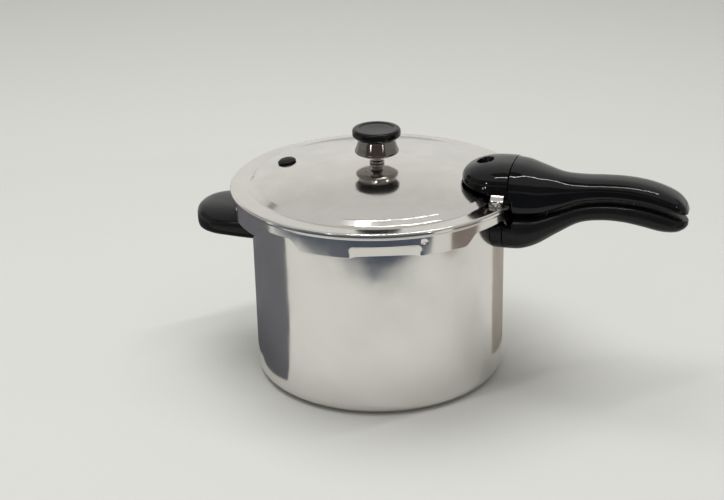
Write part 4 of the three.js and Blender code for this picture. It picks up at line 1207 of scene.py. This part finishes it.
def bevel_seam(bm, x):
    """Rounds the rim of the flat end of a handle piece at x."""
    rim = [e for e in bm.edges if all(abs(v.co.x - x) < 1e-5 for v in e.verts)
           and e.is_manifold and e.calc_face_angle() > math.radians(30)]
    bmesh.ops.bevel(bm, geom=rim, offset=0.5 * MM, offset_type="OFFSET", segments=3,
                    profile=0.5, affect="EDGES", material=-1, clamp_overlap=True)


class COOKER_OT_cover_handle(bpy.types.Operator):
    """Builds the upper long handle"""
    bl_idname = "cooker.cover_handle"
    bl_label = "Cover Handle"

    def execute(self, context):
        handle = context.scene.cooker_handle
        cover = context.scene.cooker_cover
        grip, wide = handle.grip_half_width, handle.hood_half_width
        x0, x1 = span("cover_handle", X)
        face = flange_face()
        top = face + handle.hood_rise
        shape = [
            (0, wide - 0.5 * MM, -11.5, 0), (0.07, wide - 1.5 * MM, -11.5, -1.2),
            (0.17, handle.half_width - 4 * MM, -10.8, -5),
            (0.28, handle.half_width - 10.5 * MM, -6.4, -8.6),
            (0.4, grip + 0.5 * MM, 0.5, -9.4), (0.52, grip, 3.8, -8.6),
            (0.64, grip, 4.3, -8.4), (0.76, grip, 3, -10.2),
            (0.86, grip - 0.5 * MM, 0.2, -14), (0.94, grip - 2 * MM, -3.2, -19.4),
            (0.985, grip - 5.5 * MM, -5, -26), (1, grip - 10 * MM, -5, -30.5)]
        stations = [(s, half, face + low * MM, top + high * MM) for s, half, low, high in shape]
        bm = swept_skin(stations, x0 + handle.seam / 2, x1, UPPER_SECTION)
        clear = cover.flange_radius + 0.5 * MM
        floor = face + 0.7 * MM
        for v in bm.verts:
            if v.co.z < floor:
                lift = 1 - smooth(v.co.xy.length, clear, clear + 0.6 * MM)
                v.co.z += (floor - v.co.z) * lift
        finish_mesh(bm, SKIN_MERGE)
        bevel_seam(bm, x0 + handle.seam / 2)
        piece("cover_handle_moulded", bm, "cover", "gloss_black_phenolic", ["cover_handle"])
        return {"FINISHED"}


def clear_of_skirt(bm, top):
    """Lowers a pot handle piece under the path of the cover's skirt."""
    clear = bpy.context.scene.cooker_cover.flange_radius + 0.5 * MM
    for v in bm.verts:
        if v.co.xy.length < clear and v.co.z > top:
            v.co.z = top


def hug_wall(bm):
    """Moves what lies inside the pot's wall out along X until it is clear of it."""
    wall = bpy.context.scene.cooker_pot.wall_radius + WALL_GAP
    for v in bm.verts:
        if v.co.xy.length < wall:
            v.co.x = math.sqrt(max(wall ** 2 - v.co.y ** 2, 0.0))


class COOKER_OT_pot_handle(bpy.types.Operator):
    """Builds the lower long handle and the spacer between it and the pot"""
    bl_idname = "cooker.pot_handle"
    bl_label = "Pot Handle"

    def execute(self, context):
        handle = context.scene.cooker_handle
        pot = context.scene.cooker_pot
        cover = context.scene.cooker_cover
        wide, grip = handle.half_width, handle.grip_half_width
        low, high = edge("pot_handle", LOW, Z), pot_top() - 4 * MM
        x0, x1 = span("pot_handle", X)
        skirt_top = flange_face() - cover.skirt_deep - 0.7 * MM
        shape = [
            (0, wide, 0, 0), (0.09, wide, 1, 0), (0.18, wide - 3 * MM, 6, 0.3),
            (0.29, wide - 9 * MM, 16.5, 4.5), (0.41, grip + 1 * MM, 27, 11),
            (0.53, grip, 30.5, 14), (0.65, grip, 30.5, 14.6), (0.76, grip, 28, 13.4),
            (0.86, grip - 0.5 * MM, 25.2, 10.4), (0.94, grip - 3 * MM, 25.6, 6.4),
            (0.985, grip - 8 * MM, 28.6, 3.6), (1, grip - 12 * MM, 31.2, 2)]
        stations = [(s, half, low + a * MM, high + b * MM) for s, half, a, b in shape]
        bm = swept_skin(stations, x0 + handle.seam / 2, x1, LOWER_SECTION)
        clear_of_skirt(bm, skirt_top)
        finish_mesh(bm, SKIN_MERGE)
        bevel_seam(bm, x0 + handle.seam / 2)
        piece("pot_handle_moulded", bm, "pot", "satin_black_phenolic", ["pot_handle"])

        end = edge("pot_handle_spacer", HIGH, X)
        stations = [(s, wide, low, high) for s in (0, 0.5, 1)]
        bm = swept_skin(stations, pot.wall_radius - 8 * MM, end - handle.seam / 2,
                        LOWER_SECTION, along=24)
        clear_of_skirt(bm, skirt_top)
        hug_wall(bm)
        finish_mesh(bm, SKIN_MERGE)
        bevel_seam(bm, end - handle.seam / 2)
        piece("pot_handle_spacer_moulded", bm, "pot", "gloss_black_phenolic",
              ["pot_handle_spacer"], "satin_black_phenolic")
        return {"FINISHED"}


class COOKER_OT_helper_handle(bpy.types.Operator):
    """Builds the short helper handle"""
    bl_idname = "cooker.helper_handle"
    bl_label = "Helper Handle"

    def execute(self, context):
        pot = context.scene.cooker_pot
        wide = context.scene.cooker_handle.helper_half_width
        tip = -edge("helper_handle", LOW, X)
        low, high = span("helper_handle", Z)
        middle = middle_of("helper_handle", Z)
        half = (high - low) / 2 - 1 * MM
        shape = [(0, wide, half + 1 * MM), (0.2, wide, half + 1 * MM),
                 (0.45, wide + 0.5 * MM, half), (0.68, wide - 1.5 * MM, half - 0.5 * MM),
                 (0.86, wide - 9 * MM, half - 1.5 * MM), (0.96, wide - 20 * MM, half - 3.5 * MM),
                 (1, wide - 30 * MM, half - 6.5 * MM)]
        stations = [(s, w, middle - t, middle + t) for s, w, t in shape]
        start = pot.wall_radius - 12 * MM
        bm = swept_skin(stations, start, tip, HELPER_SECTION)
        hug_wall(bm)
        finish_mesh(bm, SKIN_MERGE)
        bmesh.ops.rotate(bm, verts=bm.verts, cent=(0, 0, 0),
                         matrix=Matrix.Rotation(math.pi, 3, "Z"))
        piece("helper_handle_moulded", bm, "pot", "satin_black_phenolic", ["helper_handle"])
        return {"FINISHED"}


class COOKER_OT_rack(bpy.types.Operator):
    """Builds the perforated cooking rack with its three pressed feet"""
    bl_idname = "cooker.rack"
    bl_label = "Cooking Rack"

    def execute(self, context):
        rack = context.scene.cooker_rack
        out = edge("cooking_rack", HIGH, X)
        foot_low = edge("cooking_rack", LOW, Z)
        top = edge("cooking_rack", HIGH, Z)
        thick = 1.2 * MM
        low = top - thick
        bm = bmesh.new()
        turn_outline(bm, filleted([
            (0, low), (out - 2.6 * MM, low, 1 * MM), (out - 1.2 * MM, low - 1.3 * MM, 0.8 * MM),
            (out, low - 1 * MM, 0.4 * MM), (out, low + 0.4 * MM, 0.9 * MM),
            (out - 1.6 * MM, top, 0.8 * MM), (0, top)], steps=4), BIG)
        finish_mesh(bm)
        holes = [(0.0, 0.0, 2 * rack.hole)]
        for row, turn in ((0.3, 0), (0.566, 30), (0.832, 0)):
            for k in range(6):
                a = math.radians(turn + 60 * k)
                holes.append((row * out * math.cos(a), row * out * math.sin(a), rack.hole))
        feet = [(0.7 * out * math.cos(a), 0.7 * out * math.sin(a), rack.foot - 0.3 * MM)
                for a in (math.radians(15 + 120 * k) for k in range(3))]
        cutter = bmesh.new()
        for x, y, r in holes + feet:
            pin = turn_outline(cutter, [(0, low - 4 * MM), (r, low - 4 * MM),
                                        (r, top + 4 * MM), (0, top + 4 * MM)], 48)
            bmesh.ops.translate(cutter, verts=pin, vec=(x, y, 0))
        finish_mesh(cutter)
        cut_away(bm, cutter)
        for x, y, r in feet:
            r += 0.3 * MM
            foot = turn_outline(bm, filleted([
                (0, foot_low), (0.85 * r, foot_low, 1.4 * MM), (r, low - 0.4 * MM, 2 * MM),
                (r, top, 0.1 * MM), (r - 1.1 * MM, top, 0.8 * MM),
                (0.55 * r, foot_low + thick, 1.2 * MM), (0, foot_low + thick)], steps=4), 48)
            bmesh.ops.translate(bm, verts=foot, vec=(x, y, 0))
        bmesh.ops.recalc_face_normals(bm, faces=bm.faces)
        piece("cooking_rack_pressed", bm, "rack", "satin_aluminium", ["cooking_rack"])
        return {"FINISHED"}


# ---- Studio -----------------------------------------------------------------------------


def area_light(name, power, size, place, aim, size_y=None, rgb=(1, 1, 1)):
    data = bpy.data.lights.new(name, "AREA")
    data.energy = power
    data.color = rgb
    data.shape = "RECTANGLE" if size_y else "DISK"
    data.size = size
    if size_y:
        data.size_y = size_y
    lamp = bpy.data.objects.new(name, data)
    lamp.location = place
    lamp.rotation_euler = (Vector(aim) - Vector(place)).to_track_quat("-Z", "Y").to_euler()
    bpy.context.scene.collection.objects.link(lamp)
    return lamp


def towards(studio, turn, elevation, distance):
    """A point round the cooker, turned from the camera's azimuth."""
    a = studio.camera_azimuth + turn
    flat = distance * math.cos(elevation)
    return Vector((flat * math.sin(a), -flat * math.cos(a), distance * math.sin(elevation)))


def card(name, rgb, corners, glow=0.0):
    """A flat card that only shows in reflections, as a painted reflection; where glow is set it
    also glows as painted light.
    """
    bm = bmesh.new()
    verts = [bm.verts.new(c) for c in corners]
    bm.faces.new(verts)
    mesh = bpy.data.meshes.new(name)
    bm.to_mesh(mesh)
    bm.free()
    made = bpy.data.objects.new(name, mesh)
    bpy.context.scene.collection.objects.link(made)
    tree, shader = new_finish(f"{name}_cloth")
    reflection_mottle = noise(tree, node(tree, "ShaderNodeTexCoord").outputs["Object"], 9.0, 4.0)
    tree.links.new(mixed_colour(tree, reflection_mottle, rgb, scaled(rgb, 1.8)), shader.inputs["Base Color"])
    shader.inputs["Roughness"].default_value = 0.9
    shader.inputs["Emission Color"].default_value = (1.0, 0.985, 0.94, 1.0)
    shader.inputs["Emission Strength"].default_value = glow
    made.data.materials.append(finish_of(f"{name}_cloth"))
    made.visible_camera = False
    made.visible_diffuse = False
    made.visible_shadow = False


def build_room(studio, colours):
    """The floor that curves up into a round backdrop, and the air's soft light."""
    radius = studio.room_radius
    tree, shader = new_finish("studio_paper")
    cloud = noise(tree, node(tree, "ShaderNodeTexCoord").outputs["Object"], 1.6, 4.0)
    tree.links.new(mixed_colour(tree, cloud, scaled(colours.floor, 0.97), colours.floor),
                   shader.inputs["Base Color"])
    shader.inputs["Roughness"].default_value = 0.85
    shader.inputs["Specular IOR Level"].default_value = 0.2
    bm = bmesh.new()
    turn_outline(bm, filleted([(0, 0), (radius, 0, 1.6), (radius, 2.6)], steps=16), 96)
    bmesh.ops.remove_doubles(bm, verts=bm.verts, dist=ROOM_MERGE)
    bmesh.ops.recalc_face_normals(bm, faces=bm.faces)
    mesh = bpy.data.meshes.new("floor")
    bm.to_mesh(mesh)
    bm.free()
    floor = bpy.data.objects.new("floor", mesh)
    bpy.context.scene.collection.objects.link(floor)
    mesh.shade_smooth()
    floor.data.materials.append(finish_of("studio_paper"))

    world = bpy.data.worlds.new("studio_world")
    world.use_nodes = True
    background = world.node_tree.nodes["Background"]
    background.inputs["Color"].default_value = (1, 0.99, 0.96, 1)
    background.inputs["Strength"].default_value = 0.62
    bpy.context.scene.world = world


def build_lights(studio):
    """A broad overhead light, a tube over the cooker and a lamp on either side."""
    key = area_light("overhead", studio.key_power, 1.6, (-0.5, 0.2, 2.3), (0, 0, 0.1), 1.3)
    key.visible_glossy = False
    area_light("tube", studio.strip_power, 1.5, (0.25, -0.15, 1.7), (0.1, 0, 0.15), 0.03)
    for number, side in ((1, -1), (2, 1)):
        area_light(f"lamp_{number}", 1.2, 0.05,
                   towards(studio, side * math.radians(36), math.radians(20), 1.9),
                   (0, 0, 0.2), rgb=(1, 0.98, 0.95))


# Colour of the dim room and the shaded floor, painted into cards that show only in reflections
WARM_CARD = (0.11, 0.09, 0.08)

# Painted shade: dark cards on the floor that show only in reflections and stand for the shaded
# floor round the cooker. Name, colour and corners of each card on the floor. A corner is its angle
# in degrees from the camera's azimuth and its distance in metres from the cooker's axis.
FLOOR_CARDS = (
    ("front_card", (0.03, 0.04, 0.06), (
        (-80, 0.50), (-58, 0.49), (-35, 0.46), (-17, 0.42), (-4, 0.385), (10, 0.40),
        (22, 0.43), (35, 0.48), (48, 1.2), (0, 2.0), (-50, 1.6), (-75, 0.9))),
    ("front_right_card", WARM_CARD, (
        (50, 0.44), (58, 0.42), (68, 0.44), (76, 0.52), (74, 0.8), (54, 0.8))),
    ("left_card", (0.07, 0.07, 0.08), (
        (-58, 0.13), (-74, 0.26), (-86, 0.6), (-130, 0.8), (-172, 0.6),
        (-172, 0.13), (-150, 0.125), (-120, 0.125), (-90, 0.125))),
    ("right_card", (0.20, 0.18, 0.16), (
        (81, 0.137), (102, 0.236), (112, 0.39), (120, 0.7), (172, 0.6),
        (172, 0.13), (130, 0.125), (100, 0.125))),
)


def build_cards(studio):
    """Cards that show only in reflections: painted shade from dark ones on the floor, round the
    cooker and overhead, and painted light from pale glowing ones round the cooker.
    """
    for name, rgb, outline in FLOOR_CARDS:
        corners = [towards(studio, math.radians(a), 0, d) for a, d in outline]
        for p in corners:
            p.z = CARD_LIFT
        card(name, rgb, corners)
    # Painted light: pale cards behind the cooker that glow and show only in reflections
    for k in range(5):
        a0, a1 = (math.radians(125 + 22 * (k + side)) for side in (0, 1))
        near, far = (towards(studio, a, 0, 2.7) for a in (a0, a1))
        card(f"pale_card_{k + 1}", (0.6, 0.6, 0.6), [
            (p.x, p.y, z) for p, z in ((near, 0.01), (far, 0.01), (far, 2.5), (near, 2.5))],
            glow=studio.card_glow)
    # Painted shade: dark cards overhead and on the camera's side that show only in reflections and
    # stand for the dim room
    card("ceiling_card", (0.16, 0.13, 0.10), [
        (0.7 * math.cos(a), 0.7 * math.sin(a), 2.6)
        for a in (FULL_TURN * k / 12 for k in range(12))])
    for k, (a0, a1) in enumerate(((-62, -22), (-22, 16), (16, 48))):
        corners = [towards(studio, math.radians(a), 0, 2.1) for a in (a0, a1)]
        wall = [Vector((c.x, c.y, z)) for c, z in (
            (corners[0], 0.25), (corners[1], 0.25), (corners[1], 1.5), (corners[0], 1.5))]
        card(f"back_card_{k + 1}", WARM_CARD, wall)


def place_camera(studio):
    """The camera, aimed at the cooker from its own azimuth and elevation."""
    data = bpy.data.cameras.new("camera")
    camera = bpy.data.objects.new("camera", data)
    bpy.context.scene.collection.objects.link(camera)
    data.sensor_width = 36.0
    data.lens = studio.lens
    aim = Vector(studio.aim)
    back = towards(studio, 0, studio.camera_elevation, studio.camera_distance)
    camera.location = aim + back
    facing = (-back).to_track_quat("-Z", "Y").to_matrix().to_4x4()
    camera.rotation_euler = (
        facing @ Matrix.Rotation(studio.camera_roll, 4, "Z")).to_euler()
    bpy.context.scene.camera = camera


class COOKER_OT_stage(bpy.types.Operator):
    """Builds the floor and round backdrop, the lights, the cards and the camera"""
    bl_idname = "cooker.stage"
    bl_label = "Studio"

    def execute(self, context):
        studio = context.scene.cooker_studio
        build_room(studio, context.scene.cooker_colours)
        build_lights(studio)
        build_cards(studio)
        place_camera(studio)
        context.scene.view_settings.view_transform = "Standard"
        return {"FINISHED"}


OPERATORS = (
    COOKER_OT_finishes, COOKER_OT_pot, COOKER_OT_cover, COOKER_OT_ring, COOKER_OT_strap,
    COOKER_OT_regulator, COOKER_OT_nut, COOKER_OT_plug, COOKER_OT_vent_lock, COOKER_OT_rivets,
    COOKER_OT_brackets, COOKER_OT_screws, COOKER_OT_hood, COOKER_OT_cover_handle,
    COOKER_OT_pot_handle, COOKER_OT_helper_handle, COOKER_OT_rack, COOKER_OT_stage,
)


class COOKER_PT_panel(bpy.types.Panel):
    """Lists the sizes and the operators that build the cooker"""
    bl_label = "Pressure Cooker"
    bl_idname = "COOKER_PT_panel"
    bl_space_type = "VIEW_3D"
    bl_region_type = "UI"
    bl_category = "Cooker"

    def draw(self, context):
        layout = self.layout
        for operator in OPERATORS:
            layout.operator(operator.bl_idname)
        for key, group in SETTINGS.items():
            box = layout.box()
            box.label(text=group.__name__)
            for name in group.__annotations__:
                box.prop(getattr(context.scene, key), name)


CLASSES = (*SETTINGS.values(), *OPERATORS, COOKER_PT_panel)


def register():
    for cls in CLASSES:
        bpy.utils.register_class(cls)
    for key, group in SETTINGS.items():
        setattr(bpy.types.Scene, key, PointerProperty(type=group))


def unregister():
    for key in SETTINGS:
        delattr(bpy.types.Scene, key)
    for cls in reversed(CLASSES):
        bpy.utils.unregister_class(cls)


def main():
    register()
    for operator in OPERATORS:
        group, name = operator.bl_idname.split(".")
        getattr(getattr(bpy.ops, group), name)()


if __name__ == "__main__":
    main()
